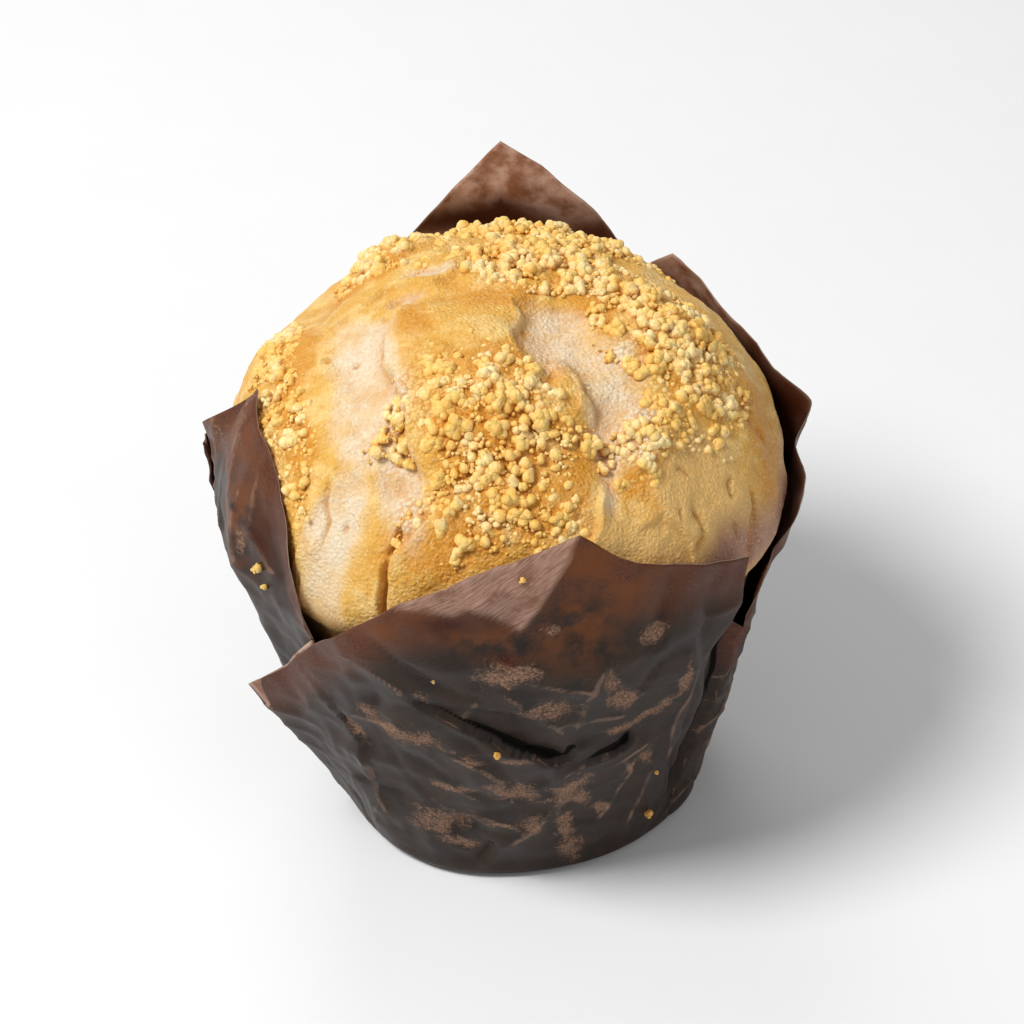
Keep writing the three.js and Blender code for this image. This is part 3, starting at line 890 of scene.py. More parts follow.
def paper_relief(bearing, height):
    """How far the wrap stands out of its plain form, how far its folds hang sideways and down,
    the distance to its nearest raised crease, and how far inside a fold's slit it is, where shade
    is painted."""
    x = around(half_turn(bearing))
    angle = np.radians(bearing)
    place = np.stack([
        AROUND_RADIUS * np.cos(angle), AROUND_RADIUS * np.sin(angle), height,
    ], axis=-1)
    relief = 0.35 * layered_noise(place, 16, 81) - 0.9 * np.abs(soft_noise(place, 10, 84))
    relief -= 0.45 * np.abs(soft_noise(place, 4.6, 85))
    hang = np.zeros((2,) + height.shape)
    crease_gap = np.full_like(height, 4.0)
    # How far inside a fold's slit each place is; the slits are painted with shade
    slit_shade_depth = np.full_like(height, -4.0)
    for line, rise, width in PAPER_CREASES:
        gap, _, share, _ = mark_distance(bearing, height, line)
        taper = np.minimum(1, 5 * np.minimum(share, 1 - share))
        relief += rise * taper * np.exp(-gap / width)
        if rise > 0:
            crease_gap = np.minimum(crease_gap, gap + 1.2 * (1 - taper))
        elif rise < -2:
            slit_shade_depth = np.maximum(slit_shade_depth, 0.9 * taper - gap)
    for line, rise, reach, back, slit_shade in PAPER_TUCKS:
        gap, side, share, away = mark_distance(bearing, height, line)
        taper = np.minimum(1, 7 * share) * (1 - share) ** 0.6
        offset = gap * side
        over = taper * smoothstep(-0.3, 0.4, offset)
        relief += rise * over * np.exp(-gap / back)
        relief -= 0.6 * rise * (taper - over) * np.exp(-gap / 1.8)
        hang -= 0.3 * reach * over * np.exp(-(gap / 1.4) ** 2) * away
        crease_gap = np.minimum(crease_gap, np.where(offset > 0.2, gap, 4.0))
        slit_shade_depth = np.maximum(slit_shade_depth, slit_shade * 1.25 * taper - np.abs(offset + 0.85))
    chance = np.random.default_rng(12)
    turn = 2 * math.pi * AROUND_RADIUS
    for _ in range(RANDOM_CREASES):
        middle = (chance.uniform(-0.5, 0.5) * turn, chance.uniform(3, 72))
        slant = chance.normal(0, 0.7) if middle[1] < 45 else chance.normal(math.pi / 2, 0.5)
        length, width = chance.uniform(4, 13), chance.uniform(0.8, 3)
        rise = chance.choice((-1, 1)) * chance.uniform(0.2, 0.8)
        dx = (x - middle[0] + turn / 2) % turn - turn / 2
        dy = height - middle[1]
        along = dx * math.cos(slant) + dy * math.sin(slant)
        across = dy * math.cos(slant) - dx * math.sin(slant)
        bend = np.abs(across + 0.012 * along * along)
        window = np.exp(-(along / length) ** 4)
        relief += rise * window * np.exp(-bend / width)
        if rise > 0.45:
            crease_gap = np.minimum(crease_gap, bend + 2 * (1 - window))
    return relief, hang, crease_gap, slit_shade_depth


def spot_cover(bearing, height, spots, growth=1.0):
    """A soft hill over each named spot, 1 in its middle and 0.5 at its edge."""
    cover = np.zeros_like(height)
    for at, level, rx, ry, turn in spots:
        x = around(half_turn(bearing - at))
        across, along = turned(x, height - level, turn)
        reach = np.hypot(across / rx, along / ry) / growth
        cover = np.maximum(cover, np.exp(-0.693 * reach ** 2))
    return cover


def inside_outline(x, y, outline):
    inside = np.zeros(np.shape(x), bool)
    for (x0, y0), (x1, y1) in zip(outline, outline[1:] + outline[:1]):
        crossing = (y0 > y) != (y1 > y)
        rise = np.where(y1 == y0, 1e-9, y1 - y0)
        inside ^= crossing & (x < (x1 - x0) * (y - y0) / rise + x0)
    return inside


def paper_masks(bearing, height):
    """Where the wrap is dry, light, rusty or soaked."""
    x = around(nearest_turn(bearing, LIGHT_FLAP))
    flap = [(around(spot[0]), spot[1]) for spot in LIGHT_FLAP]
    gap = line_distance(x, height, flap + flap[:1])[0]
    depth = np.where(inside_outline(x, height, flap), gap, -gap)
    place = np.stack([around(half_turn(bearing)), height, 0 * height], axis=-1)
    away_from_front = smoothstep(55, 75, np.abs(half_turn(bearing + 95)))
    scattered = 0.6 * smoothstep(0.15, 0.7, layered_noise(place, 8, 91)) * away_from_front
    return {
        "dry": np.maximum(spot_cover(bearing, height, DRY_PATCHES, 1.35), scattered),
        "flap": smoothstep(-0.5, 0.5, depth),
        "rusty": spot_cover(bearing, height, RUSTY_PATCHES),
        "soaked": spot_cover(bearing, height, WET_SPOTS),
        "inside_darkening": spot_cover(bearing, height, INSIDE_DARK_PATCHES),
    }


def paper_grain_group():
    """Fibres, mottles and torn-edged patches of baking paper, in the sheet's own place."""
    group, nodes, entry = new_group("Paper grain", "Dryness")
    place = entry["Place"]
    slanted = nodes.add(
        "ShaderNodeMapping", {"vector_type": "TEXTURE"}, Vector=place,
        Rotation=(0, 0, math.radians(38)), Scale=(2.6, 0.18, 1),
    )
    fibre = nodes.noise(slanted.outputs["Vector"], 0.8, 5.0, 0.7)
    mottle = nodes.noise(place, 0.22, 5.0, 0.6)
    speckle = nodes.noise(place, 2.4, 5.0, 0.75)
    bend = nodes.add("ShaderNodeTexNoise", Vector=place, Scale=0.3, Detail=2.0)
    bent = nodes.add("ShaderNodeVectorMath", {"operation": "MULTIPLY_ADD"})
    nodes.feed(bent.inputs[0], bend.outputs["Color"])
    bent.inputs[1].default_value = (7, 7, 0)
    nodes.feed(bent.inputs[2], place)
    torn = nodes.noise(bent.outputs["Vector"], 0.42, 7.0, 0.74)
    torn_share = nodes.math("MULTIPLY", nodes.math("SUBTRACT", torn, 0.5), 2.8)
    flecked = nodes.math("MULTIPLY", nodes.math("SUBTRACT", speckle, 0.5), 0.5)
    raggedness = nodes.math("ADD", torn_share, flecked)
    dry = nodes.spread(nodes.math("ADD", entry["Dryness"], raggedness), 0.42, 1.0)
    height = nodes.math("ADD", fibre, nodes.math("MULTIPLY", speckle, 0.6))
    return give_out(group, Fibre=fibre, Mottle=mottle, Speckle=speckle, Dry=dry, Height=height)


def grained(nodes, dryness):
    """Places the paper grain group in a material and returns its outputs."""
    place = nodes.attribute("sheet_place", "Vector")
    return nodes.group("Paper grain", paper_grain_group, Place=place, Dryness=dryness)


def paper_outside(settings):
    material, nodes, shader = new_material("Paper outside")
    grain = grained(nodes, nodes.attribute("dry"))
    darker_share = nodes.spread(grain["Mottle"], 0.35, 0.7)
    tone = nodes.mix(darker_share, opaque(settings.outside), GREASY_BROWN)
    near_rim = nodes.spread(ragged_rim_gap(nodes, grain, 9.0), 17.0, 7.5)
    band = nodes.mix(nodes.spread(grain["Speckle"], 0.35, 0.7), RIM_BAND, RIM_BAND_LIGHT)
    tone = nodes.mix(nodes.math("MULTIPLY", near_rim, 0.9), tone, band)
    rusty = nodes.spread(grain["Mottle"], 0.35, 0.6)
    rusty = nodes.math("MULTIPLY", nodes.attribute("rusty"), rusty)
    tone = nodes.mix(rusty, tone, RUSTY_PAPER)
    tone = nodes.mix(nodes.spread(grain["Fibre"], 0.5, 0.75, 0, 0.3), tone, FIBRE_GREY)
    flap = nodes.mix(nodes.spread(grain["Fibre"], 0.3, 0.7), DRY_FLAP, DRY_FLAP_LIGHT)
    flap = nodes.mix(nodes.spread(grain["Mottle"], 0.48, 0.66, 0, 0.6), flap, RIM_BAND_LIGHT)
    tone = nodes.mix(nodes.math("MULTIPLY", nodes.attribute("flap"), 0.85), tone, flap)
    dry = nodes.mix(nodes.spread(grain["Speckle"], 0.36, 0.66), DRY_PAPER, PALE_DRY_PAPER_AND_HIGHLIGHT)
    tone = nodes.mix(nodes.math("MULTIPLY", grain["Dry"], 0.9), tone, dry)
    # Thin lighter lines along the raised creases: partly wear, partly a painted highlight
    crease_line = nodes.spread(nodes.attribute("crease_gap"), 0.6, 0.25)
    crease_wear_and_highlight = nodes.math("MULTIPLY", crease_line, nodes.spread(grain["Mottle"], 0.38, 0.6))
    tone = nodes.mix(nodes.math("MULTIPLY", crease_wear_and_highlight, 0.4), tone, PALE_DRY_PAPER_AND_HIGHLIGHT)
    tone = nodes.mix(nodes.attribute("soaked"), tone, SOAKED_PAPER)
    # Painted shade: the slits of the folds and the deepest creases are coloured near black
    slit_shade = nodes.spread(nodes.attribute("slit_shade_depth"), 0, 0.3)
    tone = nodes.mix(slit_shade, tone, PAINTED_FOLD_SHADE)
    rough = nodes.spread(grain["Mottle"], 0.3, 0.7, 0.36, 0.5)
    rough = nodes.math("ADD", rough, nodes.math("MULTIPLY", grain["Dry"], 0.3))
    wet = nodes.math("MULTIPLY", nodes.attribute("soaked"), 0.2)
    rough = nodes.math("MAXIMUM", nodes.math("SUBTRACT", rough, wet), slit_shade)
    normal = nodes.bump(grain["Height"], 0.35, PAPER_BUMP)
    nodes.fill(shader, Base_Color=tone, Roughness=rough, Specular_IOR_Level=0.14, Normal=normal)
    return material


def ragged_rim_gap(nodes, grain, raggedness):
    """How far below the rim a place is, in millimetres, made uneven by the mottles."""
    uneven = nodes.math("MULTIPLY", grain["Mottle"], raggedness)
    return nodes.math("ADD", nodes.attribute("rim_gap"), uneven)


def paper_inside(settings):
    material, nodes, shader = new_material("Paper inside")
    grain = grained(nodes, 0.4)
    high = nodes.mix(nodes.spread(grain["Mottle"], 0.35, 0.62), INSIDE_BROWN, INSIDE_PINK)
    high = nodes.mix(nodes.spread(grain["Speckle"], 0.5, 0.75, 0, 0.5), high, INSIDE_GREY)
    low = nodes.spread(ragged_rim_gap(nodes, grain, 8.0), 11.0, 16.0)
    tone = nodes.mix(low, high, opaque(settings.inside))
    tone = nodes.mix(nodes.spread(grain["Fibre"], 0.5, 0.75, 0, 0.25), tone, INSIDE_PINK)
    # Darker over the right sheet's inside
    darker_share = nodes.math("MULTIPLY", nodes.attribute("inside_darkening"), 0.75)
    tone = nodes.mix(darker_share, tone, INSIDE_DARKER)
    tone = nodes.mix(nodes.attribute("soaked"), tone, SOAKED_PAPER)
    rough = nodes.spread(grain["Mottle"], 0.3, 0.7, 0.38, 0.55)
    normal = nodes.bump(grain["Height"], 0.35, PAPER_BUMP)
    nodes.fill(shader, Base_Color=tone, Roughness=rough, Specular_IOR_Level=0.2, Normal=normal)
    return material


def paper_edge():
    material, nodes, shader = new_material("Paper cut edge")
    mottle = nodes.noise(nodes.place(), 1.5)
    tone = nodes.mix(mottle, EDGE_DARK, EDGE_LIGHT)
    nodes.fill(shader, Base_Color=tone, Roughness=0.7)
    return material


class MUFFIN_OT_cake_crust(bpy.types.Operator):
    """Bake the cake: its crown with swells, torn edges and pores, and its body in the paper"""

    bl_idname = "muffin.cake_crust"
    bl_label = "Cake crust"

    def execute(self, context):
        x, y = disc_grid(CROWN_CELLS)
        share = np.hypot(x, y)
        bearing = np.arctan2(y, x)
        rise = (math.pi / 2) * (1 - np.minimum(share / CROWN_SHARE, 1))
        under = np.clip((share - CROWN_SHARE) / (1 - CROWN_SHARE), 0, 1)
        collar = BODY_FOOT_RADIUS + BODY_FLARE * COLLAR_LEVEL
        radius = CROWN_RADIUS * np.cos(rise) - (CROWN_RADIUS - collar) * under ** 2
        height = CROWN_LEVEL + CROWN_RISE * np.sin(rise) - (CROWN_LEVEL - COLLAR_LEVEL) * under
        points = np.stack([
            radius * np.cos(bearing) + lean_at(height), radius * np.sin(bearing), height,
        ], axis=-1)
        normal = crown_normal(points)
        plan_x, plan_y = points[..., 0], points[..., 1]
        fade = 1 - under
        swells = crown_relief(plan_x, plan_y)
        detail = crust_detail(points, plan_x, plan_y)
        points = points + normal * ((swells + detail) * fade)[..., None]
        points = kept_inside_wrap(points)
        masks = crust_masks(points, plan_x, plan_y)
        masks["crevice_shade"] = crevice_shade_mask(points)
        masks = {label: values.reshape(-1) for label, values in masks.items()}

        side = CROWN_CELLS + 1
        index = np.arange(side * side).reshape(side, side)
        quads = np.stack([
            index[:-1, :-1], index[1:, :-1], index[1:, 1:], index[:-1, 1:],
        ], axis=-1).reshape(-1, 4)
        ring = np.concatenate([
            index[:-1, 0], index[-1, :-1], index[:0:-1, -1], index[0, :0:-1],
        ])
        body = [kept_inside_wrap(level) for level in cake_body(bearing.reshape(-1)[ring])]
        loops = [ring] + [side * side + np.arange(len(ring)) + n * len(ring)
                          for n in range(len(body))]
        for upper, lower in zip(loops[:-1], loops[1:]):
            band = np.stack([upper, lower, np.roll(lower, -1), np.roll(upper, -1)], axis=-1)
            quads = np.concatenate([quads, band])
        verts = np.concatenate([points.reshape(-1, 3)] + body)
        hidden = np.zeros(len(verts) - side * side)
        masks = {label: np.concatenate([values, hidden]) for label, values in masks.items()}
        masks["side"][side * side:] = 1
        materials = (crust_material(context.scene.muffin_cake),)
        piece = new_piece("crust", verts, quads, masks, materials)
        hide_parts("cake")
        return {"FINISHED"}


def disc_grid(cells):
    """A square grid pressed into a disc: x and y from -1 to 1."""
    line = np.linspace(-1, 1, cells + 1)
    a, b = np.meshgrid(line, line, indexing="ij")
    wide = np.abs(a) > np.abs(b)
    radius = np.where(wide, a, b)
    safe = np.where(radius == 0, 1, radius)
    quarter = math.pi / 4
    turn = np.where(wide, quarter * b / safe, 2 * quarter - quarter * a / safe)
    return radius * np.cos(turn), radius * np.sin(turn)


def cake_body(bearing):
    """Rings of the cake's side, from under the crown to the foot, and its flat base."""
    rings = []
    for level in (44, 34, 24, 14, 6, 2.8, 1.6, BODY_BASE):
        reach = BODY_FOOT_RADIUS + BODY_FLARE * level
        reach -= 1.6 * max(0, 1 - (level - BODY_BASE) / 1.8) ** 2
        rings.append(np.stack([
            reach * np.cos(bearing) + lean_at(level), reach * np.sin(bearing),
            np.full(len(bearing), float(level)),
        ], axis=-1))
    foot = rings[-1]
    middle = foot.mean(axis=0)
    for share in (0.5, 0.02):
        rings.append(middle + (foot - middle) * share)
    return rings


def ellipse_cover(x, y, patches, blur=0.3):
    """How far inside one of the patches each place is, from 0 to 1, with uneven edges."""
    place = np.stack([x, y, np.zeros_like(x)], axis=-1)
    wander = 0.28 * layered_noise(place, 4.0, 11)
    cover = np.zeros(np.shape(x))
    for cx, cy, rx, ry, turn in (patch[:5] for patch in patches):
        across, along = turned(x - cx, y - cy, turn)
        reach = np.hypot(across / rx, along / ry) + wander
        cover = np.maximum(cover, 1 - smoothstep(1 - blur, 1 + blur, reach))
    return cover


def crumb_cover(x, y):
    return ellipse_cover(x, y, [swell for swell in SWELLS if swell[6]], 0.35)


def crust_detail(points, x, y):
    """Relief of the crust over its swells: torn edges, cracks, pores and crumbly ground."""
    wander_x = 0.5 * soft_noise(points, 2.5, 31)
    wander_y = 0.5 * soft_noise(points, 2.5, 32)
    relief = 0.45 * layered_noise(points, 9.0, 21) + 0.10 * soft_noise(points, 1.3, 25)
    for line, rise, step, back in CRUST_EDGES:
        gap, side, share, _ = line_distance(x + wander_x, y + wander_y, line)
        behind = gap * side * math.copysign(1, rise)
        taper = np.minimum(1, 6 * np.minimum(share, 1 - share))
        shape = smoothstep(-step, step, behind) * np.exp(-np.maximum(behind, 0) / back)
        relief += 1.4 * abs(rise) * taper * shape
    for line, depth, width in CRUST_CRACKS:
        gap, _, share, _ = line_distance(x + 0.6 * wander_x, y + 0.6 * wander_y, line)
        taper = np.minimum(1, 6 * np.minimum(share, 1 - share))
        relief -= depth * taper * np.exp(-(gap / width) ** 2)
    for cx, cy, size in CRUST_PORES:
        relief -= 1.1 * size * np.exp(-(np.hypot(x - cx, y - cy) / size) ** 4)
    cover = crumb_cover(x, y)
    coarse = 0.8 - cell_distance(points, 1.7, 41)
    ground = 0.8 * coarse + 0.6 * (0.8 - cell_distance(points, 1.0, 42))
    fine = 0.12 * (0.7 - cell_distance(points, 0.9, 43)) + 0.25 * soft_noise(points, 3.2, 26)
    pale = ellipse_cover(x, y, PALE_PATCHES, 0.5)
    smooth = ellipse_cover(x, y, TAN_PATCHES) + 0.6 * pale
    relief -= 0.8 * pale * (1 - cover)
    relief += (ground - 0.5) * cover + fine * np.clip(1 - 0.7 * smooth, 0, 1)
    return relief


def crust_masks(points, x, y):
    """Where the crust is pale, golden and tan, and where it is darker brown low on its right edge.
    """
    side = smoothstep(58.5, 52, points[..., 2])
    low = smoothstep(68, 60, points[..., 2] + 3 * soft_noise(points, 5, 51))
    return {
        "pale": ellipse_cover(x, y, PALE_PATCHES, 0.4),
        "golden": ellipse_cover(x, y, GOLDEN_PATCHES, 0.6),
        "tan": ellipse_cover(x, y, TAN_PATCHES, 0.4),
        "crumbs": crumb_cover(x, y),
        "low_right_edge": np.clip(low * smoothstep(10, 30, x), 0, 1),
        "side": side,
    }


def relief_above(points):
    """Height of points over the crown's plain dome."""
    dx, dy = points[..., 0] - LEAN, points[..., 1]
    dz = np.maximum(points[..., 2] - CROWN_LEVEL, 0)
    form = np.sqrt((dx * dx + dy * dy) / CROWN_RADIUS ** 2 + dz * dz / CROWN_RISE ** 2)
    slope = np.sqrt((dx * dx + dy * dy) / CROWN_RADIUS ** 4 + dz * dz / CROWN_RISE ** 4)
    return (form - 1) * form / np.maximum(slope, 1e-6)


def crown_cell(points):
    """The cell of a flat map of the crown that each point lies in."""
    dx, dy = points[..., 0] - LEAN, points[..., 1]
    dz = np.maximum(points[..., 2] - CROWN_LEVEL, 0)
    out = np.hypot(dx, dy)
    tilt = np.arctan2(out / CROWN_RADIUS, dz / CROWN_RISE)
    way = tilt * CROWN_MAP_RADIUS / np.maximum(out, 1e-6)
    half = CREVICE_CELL * CROWN_MAP_CELLS / 2
    return tuple(
        np.clip(((side * way + half) / CREVICE_CELL).astype(int), 0, CROWN_MAP_CELLS - 1)
        for side in (dx, dy)
    )


def blurred(grid, radius):
    """A grid smoothed by three passes of a running mean."""
    width = 2 * radius + 1
    for _ in range(3):
        for axis in (0, 1):
            padded = np.concatenate([
                np.repeat(np.take(grid, [0], axis), radius + 1, axis), grid,
                np.repeat(np.take(grid, [-1], axis), radius, axis),
            ], axis)
            total = np.cumsum(padded, axis)
            size = grid.shape[axis]
            upper = np.take(total, np.arange(width, width + size), axis)
            grid = (upper - np.take(total, np.arange(size), axis)) / width
    return grid


def crevice_shade_mask(points, heap=None):
    """How deep each point lies below the crumbs and crust around it, where shade is painted."""
    sources = points.reshape(-1, 3) if heap is None else heap
    heights = np.full((CROWN_MAP_CELLS,) * 2, -9.0)
    np.maximum.at(heights, crown_cell(sources), relief_above(sources))
    heights[heights < -5] = 0
    level = blurred(heights, 2)
    depth = level[crown_cell(points)] - relief_above(points)
    return smoothstep(-0.1, 0.95, depth)


def crumb_grain_group():
    """Pebbles, mottles and glints of baked crumb, shared by the crust and its topping."""
    group, nodes, entry = new_group("Crumb grain", "Pebble Size")
    place = entry["Place"]
    fine = nodes.math("DIVIDE", 1.0, entry["Pebble Size"])
    pebbles = nodes.add("ShaderNodeTexVoronoi", {"feature": "F1"}, Vector=place, Scale=fine)
    pebble = nodes.spread(pebbles.outputs["Distance"], 0.75, 0.1)
    # The gaps between the pebbles, where the materials paint shade
    gap = nodes.spread(pebbles.outputs["Distance"], 0.42, 0.72)
    mottle = nodes.noise(place, 0.22, 6.0, 0.62)
    grain = nodes.noise(place, 2.2, 4.0, 0.7)
    raised = nodes.math("MULTIPLY", pebble, 0.4)
    height = nodes.math("ADD", raised, nodes.math("MULTIPLY", grain, 0.9))
    return give_out(group, Gap=gap, Mottle=mottle, Grain=grain, Height=height)


def crumbled(nodes, size):
    """Places the crumb grain group in a material and returns its outputs."""
    return nodes.group("Crumb grain", crumb_grain_group, Place=nodes.place(), Pebble_Size=size)


def crust_material(settings):
    material, nodes, shader = new_material("Baked crust")
    grain = crumbled(nodes, 0.6)
    streak = nodes.noise(nodes.streaks(0.6, 0.0022, 0.00035), 1.0, 5.0)
    golden = opaque(settings.golden)
    crevice_shade = opaque(settings.crevice_shade)
    tone = nodes.mix(nodes.spread(grain["Mottle"], 0.40, 0.56), opaque(settings.light), golden)
    baked = nodes.math("MULTIPLY", nodes.attribute("golden"), 0.5)
    browning = nodes.math("ADD", baked, grain["Mottle"])
    tone = nodes.mix(nodes.spread(browning, 0.58, 1.0, 0, 0.95), tone, DEEP_GOLD)
    tone = nodes.mix(nodes.attribute("tan"), tone, TAN_CRUST)
    floury = nodes.spread(grain["Mottle"], 0.64, 0.46, 0.6, 1)
    floury = nodes.math("MULTIPLY", nodes.attribute("pale"), floury)
    tone = nodes.mix(floury, tone, opaque(settings.pale))
    tone = nodes.mix(nodes.spread(streak, 0.46, 0.62, 0, 0.3), tone, golden)
    # Darker brown low on the crown's right side
    tone = nodes.mix(nodes.attribute("low_right_edge"), tone, LOW_RIGHT_BROWN)
    # Painted shade in the gaps between pebbles, stronger among the crumbs
    pebble_gap_shade = nodes.math("MULTIPLY", grain["Gap"], nodes.math("ADD", nodes.attribute("crumbs"), 0.22))
    tone = nodes.mix(nodes.math("MULTIPLY", pebble_gap_shade, 0.6, clamp=True), tone, crevice_shade)
    # Painted shade: the crevices between the crumbs are coloured deep orange
    tone = nodes.mix(nodes.attribute("crevice_shade"), tone, crevice_shade)
    tone = nodes.mix(nodes.attribute("side"), tone, SIDE_CRUMB)
    tone = nodes.mix(nodes.spread(grain["Grain"], 0.52, 0.68, 0, 0.4), tone, GRAIN_LIGHT)
    rough = nodes.spread(grain["Grain"], 0.35, 0.65, 0.42, 0.62)
    height = nodes.math("ADD", grain["Height"], nodes.math("MULTIPLY", streak, 0.5))
    normal = nodes.bump(height, 1.0, 0.00034)
    nodes.fill(shader, Base_Color=tone, Roughness=rough, Normal=normal)
    nodes.fill(shader, Subsurface_Weight=0.08, **UNDER_CRUST)
    return material


def crumb_material(settings):
    material, nodes, shader = new_material("Baked crumbs")
    grain = crumbled(nodes, 0.45)
    crevice_shade = opaque(settings.crevice_shade)
    browning = nodes.spread(grain["Mottle"], 0.48, 0.66, 0, 0.6)
    tone = nodes.mix(browning, opaque(settings.topping), opaque(settings.golden))
    tone = nodes.mix(nodes.spread(grain["Mottle"], 0.54, 0.38, 0, 0.75), tone, GRAIN_LIGHT)
    # Painted shade in the gaps between pebbles
    tone = nodes.mix(nodes.math("MULTIPLY", grain["Gap"], 0.25), tone, crevice_shade)
    # Painted shade: the crevices between the crumbs are coloured deep orange
    tone = nodes.mix(nodes.math("MULTIPLY", nodes.attribute("crevice_shade"), 0.6), tone, crevice_shade)
    tone = nodes.mix(nodes.spread(grain["Grain"], 0.52, 0.7, 0, 0.35), tone, GRAIN_LIGHT)
    rough = nodes.spread(grain["Grain"], 0.3, 0.7, 0.48, 0.66)
    normal = nodes.bump(grain["Height"], 0.6, 0.00022)
    nodes.fill(shader, Base_Color=tone, Roughness=rough, Normal=normal)
    nodes.fill(shader, Subsurface_Weight=0.3, **UNDER_CRUST)
    return material


def main_crumbs():
    """The main crumbs, placed as in the solids: x, y and radius."""
    crumbs = []
    for index, swell in enumerate(SWELLS):
        x, y, rx, ry, turn, _, count, small, large = swell
        draw = seeded_draw(CRUMB_SEED + CRUMB_SEED_STEP * index)
        for i in range(count):
            radius = large + (small - large) * i / count
            spread = math.sqrt((i + next(draw)) / count)
            way = GOLDEN_TURN * i + next(draw)
            across, along = turned(rx * spread * math.cos(way), ry * spread * math.sin(way), -turn)
            for _ in range(3):
                next(draw)
            crumbs.append((x + across, y + along, radius))
    crumbs.append(CHUNK)
    edge = CROWN_RADIUS - CRUMB_MARGIN
    return [spot for spot in crumbs if math.hypot(spot[0] - LEAN, spot[1]) + spot[2] < edge]


def ball_form(rounds):
    """Points and triangles of a unit ball."""
    form = bmesh.new()
    bmesh.ops.create_icosphere(form, subdivisions=rounds, radius=1)
    points = np.array([vert.co[:] for vert in form.verts])
    triangles = np.array([[vert.index for vert in face.verts] for face in form.faces])
    form.free()
    return points, triangles


def outward_way(chance, normal, least):
    """A random way that leans outward by at least the given amount."""
    while True:
        way = chance.normal(size=3)
        way /= np.linalg.norm(way)
        if way @ normal > least:
            return way


def clump_grains(chance):
    """Centres and radii of the clumps: a core for each main crumb, set with round grains."""
    grains = []
    for x, y, radius in main_crumbs():
        point, normal = crown_point(x, y)
        core = CORE_SHARE * radius
        centre = point - normal * radius * 0.15
        grains.append((centre, core))
        for _ in range(int(4 + 4.4 * radius ** 1.5)):
            way = outward_way(chance, normal, -0.05)
            size = chance.uniform(*CLUMP_GRAIN_SIZES)
            grains.append((centre + way * (core + size * chance.uniform(-0.3, 0.35)), size))
    return grains


def strewn_grains(chance, density, smallest, largest, reach):
    """Centres and radii of small grains strewn between and round the clumps."""
    grains = []
    for swell in SWELLS:
        x, y, rx, ry, turn, _, count = swell[:7]
        for _ in range(int(rx * ry * density) if count else 0):
            spread, way = reach * math.sqrt(chance.random()), chance.uniform(0, math.tau)
            across, along = turned(rx * spread * math.cos(way), ry * spread * math.sin(way), -turn)
            spot_x, spot_y = x + across, y + along
            place = np.array([[spot_x, spot_y, 0.0]])
            crowding = layered_noise(place, 5.0, 44)[0] + 0.5 - 0.5 * spread
            size = smallest + (largest - smallest) * chance.random() ** 1.4
            if math.hypot(spot_x - LEAN, spot_y) > CROWN_RADIUS - 2 or crowding < -0.2:
                continue
            point, normal = crown_point(spot_x, spot_y)
            lift = size * chance.uniform(-0.4, 0.2) + 0.5 * max(0, crowding) * chance.random()
            grains.append((point + normal * lift, size))
    return grains


def dropped_crumbs(chance):
    """Crumbs stuck to the outside of the wrap, each a grain with smaller ones on it."""
    _, points, bearing = wrap_surface()[:3]
    grains = []
    for at, height, radius in LOOSE_CRUMBS:
        turn = np.abs(half_turn(bearing - at)) * math.radians(AROUND_RADIUS)
        nearest = np.hypot(turn, points[..., 2] - height)
        spot = points[np.unravel_index(np.argmin(nearest), nearest.shape)]
        way = np.array([math.cos(math.radians(at)), math.sin(math.radians(at)), 0.3])
        centre = spot + way * radius * 0.7
        grains.append((centre, radius))
        for _ in range(4):
            grain_way = outward_way(chance, way, 0)
            grains.append((centre + grain_way * radius * 0.8, radius * 0.5))
    return grains


def clear_of_paper(centre, radius):
    """Whether a crumb stays inside the wrap without touching it."""
    gaps = np.linalg.norm(PAPER_GUIDE - centre, axis=1)
    nearest = PAPER_GUIDE[np.argmin(gaps)]
    out, wrap_out = np.hypot(*centre[:2]), np.hypot(*nearest[:2])
    inside = out < wrap_out or centre[2] > nearest[2] + 1
    return inside and gaps.min() > radius + CRUMB_CLEARANCE


class MUFFIN_OT_crumb_topping(bpy.types.Operator):
    """Heap the crumb topping on the crown: clumps of round grains, and grains strewn between"""

    bl_idname = "muffin.crumb_topping"
    bl_label = "Crumb topping"

    def execute(self, context):
        chance = np.random.default_rng(5)
        kinds = {
            "crumb_clumps": (2, clump_grains(chance)),
            "crumb_grains": (2, strewn_grains(chance, *STREWN_GRAINS)),
            "crumb_dust": (1, strewn_grains(chance, *STREWN_DUST)),
        }
        forms = {}
        for name, (rounds, grains) in kinds.items():
            grains = [grain for grain in grains if clear_of_paper(*grain)]
            if name == "crumb_clumps":
                grains += dropped_crumbs(chance)
            forms[name] = grain_form(grains, rounds)
        heap = np.concatenate([points for points, _ in forms.values()])
        materials = (crumb_material(context.scene.muffin_cake),)
        for name, (points, triangles) in forms.items():
            masks = {"crevice_shade": crevice_shade_mask(points, heap)}
            piece = new_piece(name, points, triangles, masks, materials)
            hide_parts("cake")
        return {"FINISHED"}


def grain_form(grains, rounds):
    """Points and triangles of many grains, each a lumpy ball a little out of round."""
    ball, triangles = ball_form(rounds)
    chance = np.random.default_rng(8)
    points = np.concatenate([
        centre + ball * radius * chance.uniform(0.82, 1.15, 3) for centre, radius in grains
    ])
    outward = np.tile(ball, (len(grains), 1))
    unevenness = GRAIN_UNEVENNESS * layered_noise(points, 0.8, 61, 2)
    points += outward * unevenness[:, None]
    starts = np.arange(len(grains)) * len(ball)
    return points, (triangles[None] + starts[:, None, None]).reshape(-1, 3)


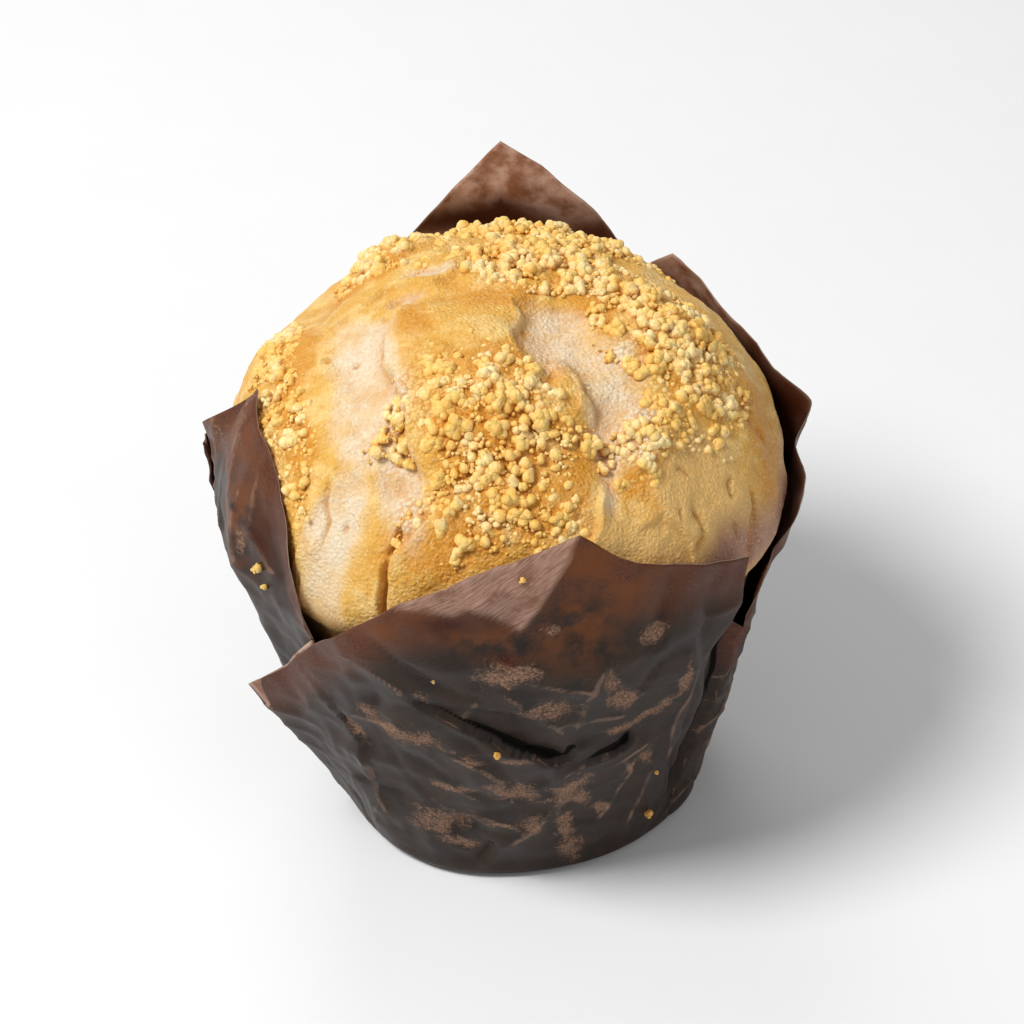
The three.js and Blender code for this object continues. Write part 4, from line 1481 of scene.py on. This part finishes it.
class MUFFIN_OT_studio(bpy.types.Operator):
    """Set the pale floor, the soft lights and the camera"""

    bl_idname = "muffin.studio"
    bl_label = "Studio"

    def execute(self, context):
        settings = context.scene.muffin_studio
        bpy.ops.mesh.primitive_plane_add(size=FLOOR_SIZE, location=(0, 0, 0))
        floor = context.object
        floor.name = "floor"
        material, nodes, shader = new_material("Pale floor")
        grain = nodes.noise(nodes.place(), 0.05)
        pale = opaque(settings.floor)
        duller = opaque(0.97 * value for value in settings.floor)
        nodes.fill(shader, Base_Color=nodes.mix(grain, pale, duller), Roughness=0.9)
        floor.data.materials.append(material)
        world = bpy.data.worlds.new("Soft room")
        world.use_nodes = True
        background = world.node_tree.nodes["Background"]
        background.inputs["Color"].default_value = (1, 1, 1, 1)
        background.inputs["Strength"].default_value = ROOM_LIGHT
        context.scene.world = world
        context.scene.view_settings.view_transform = "Standard"
        for light in STUDIO_LIGHTS:
            self.add_light(*light)
        self.add_camera(context, settings)
        return {"FINISHED"}

    def add_light(self, name, place, size, power):
        data = bpy.data.lights.new(name, "AREA")
        data.shape = "DISK"
        data.size = size
        data.energy = power
        light = bpy.data.objects.new(name, data)
        light.location = place
        aim = Vector(LIGHT_AIM) - Vector(place)
        light.rotation_euler = aim.to_track_quat("-Z", "Y").to_euler()
        bpy.context.scene.collection.objects.link(light)

    def add_camera(self, context, settings):
        data = bpy.data.cameras.new("camera")
        data.lens = LENS
        data.sensor_width = SENSOR_WIDTH
        camera = bpy.data.objects.new("camera", data)
        target = Vector(CAMERA_TARGET) * MM
        back = Vector((0, -math.cos(settings.elevation), math.sin(settings.elevation)))
        camera.location = target + back * settings.distance
        camera.rotation_euler = (-back).to_track_quat("-Z", "Y").to_euler()
        context.scene.collection.objects.link(camera)
        context.scene.camera = camera


class MUFFIN_PT_panel(bpy.types.Panel):
    """Lists the muffin's pieces"""

    bl_idname = "MUFFIN_PT_panel"
    bl_label = "Muffin"
    bl_space_type = "VIEW_3D"
    bl_region_type = "UI"
    bl_category = "Muffin"

    def draw(self, context):
        for label in ("muffin_cake", "muffin_paper", "muffin_studio"):
            group = getattr(context.scene, label)
            for name in group.bl_rna.properties.keys():
                if name not in ("rna_type", "name"):
                    self.layout.prop(group, name)
        for piece in PIECES:
            self.layout.operator(piece.bl_idname)


PIECES = (
    MUFFIN_OT_cake_crust,
    MUFFIN_OT_crumb_topping,
    MUFFIN_OT_paper_wrap,
    MUFFIN_OT_studio,
)
CLASSES = (
    MuffinCakeSettings, MuffinPaperSettings, MuffinStudioSettings,
) + PIECES + (MUFFIN_PT_panel,)


def register():
    for item in CLASSES:
        bpy.utils.register_class(item)
    scene = bpy.types.Scene
    scene.muffin_cake = bpy.props.PointerProperty(type=MuffinCakeSettings)
    scene.muffin_paper = bpy.props.PointerProperty(type=MuffinPaperSettings)
    scene.muffin_studio = bpy.props.PointerProperty(type=MuffinStudioSettings)


def unregister():
    for label in ("muffin_cake", "muffin_paper", "muffin_studio"):
        delattr(bpy.types.Scene, label)
    for item in reversed(CLASSES):
        bpy.utils.unregister_class(item)


def main():
    register()
    bpy.ops.muffin.cake_crust()
    bpy.ops.muffin.crumb_topping()
    bpy.ops.muffin.paper_wrap()
    bpy.ops.muffin.studio()


if __name__ == "__main__":
    main()
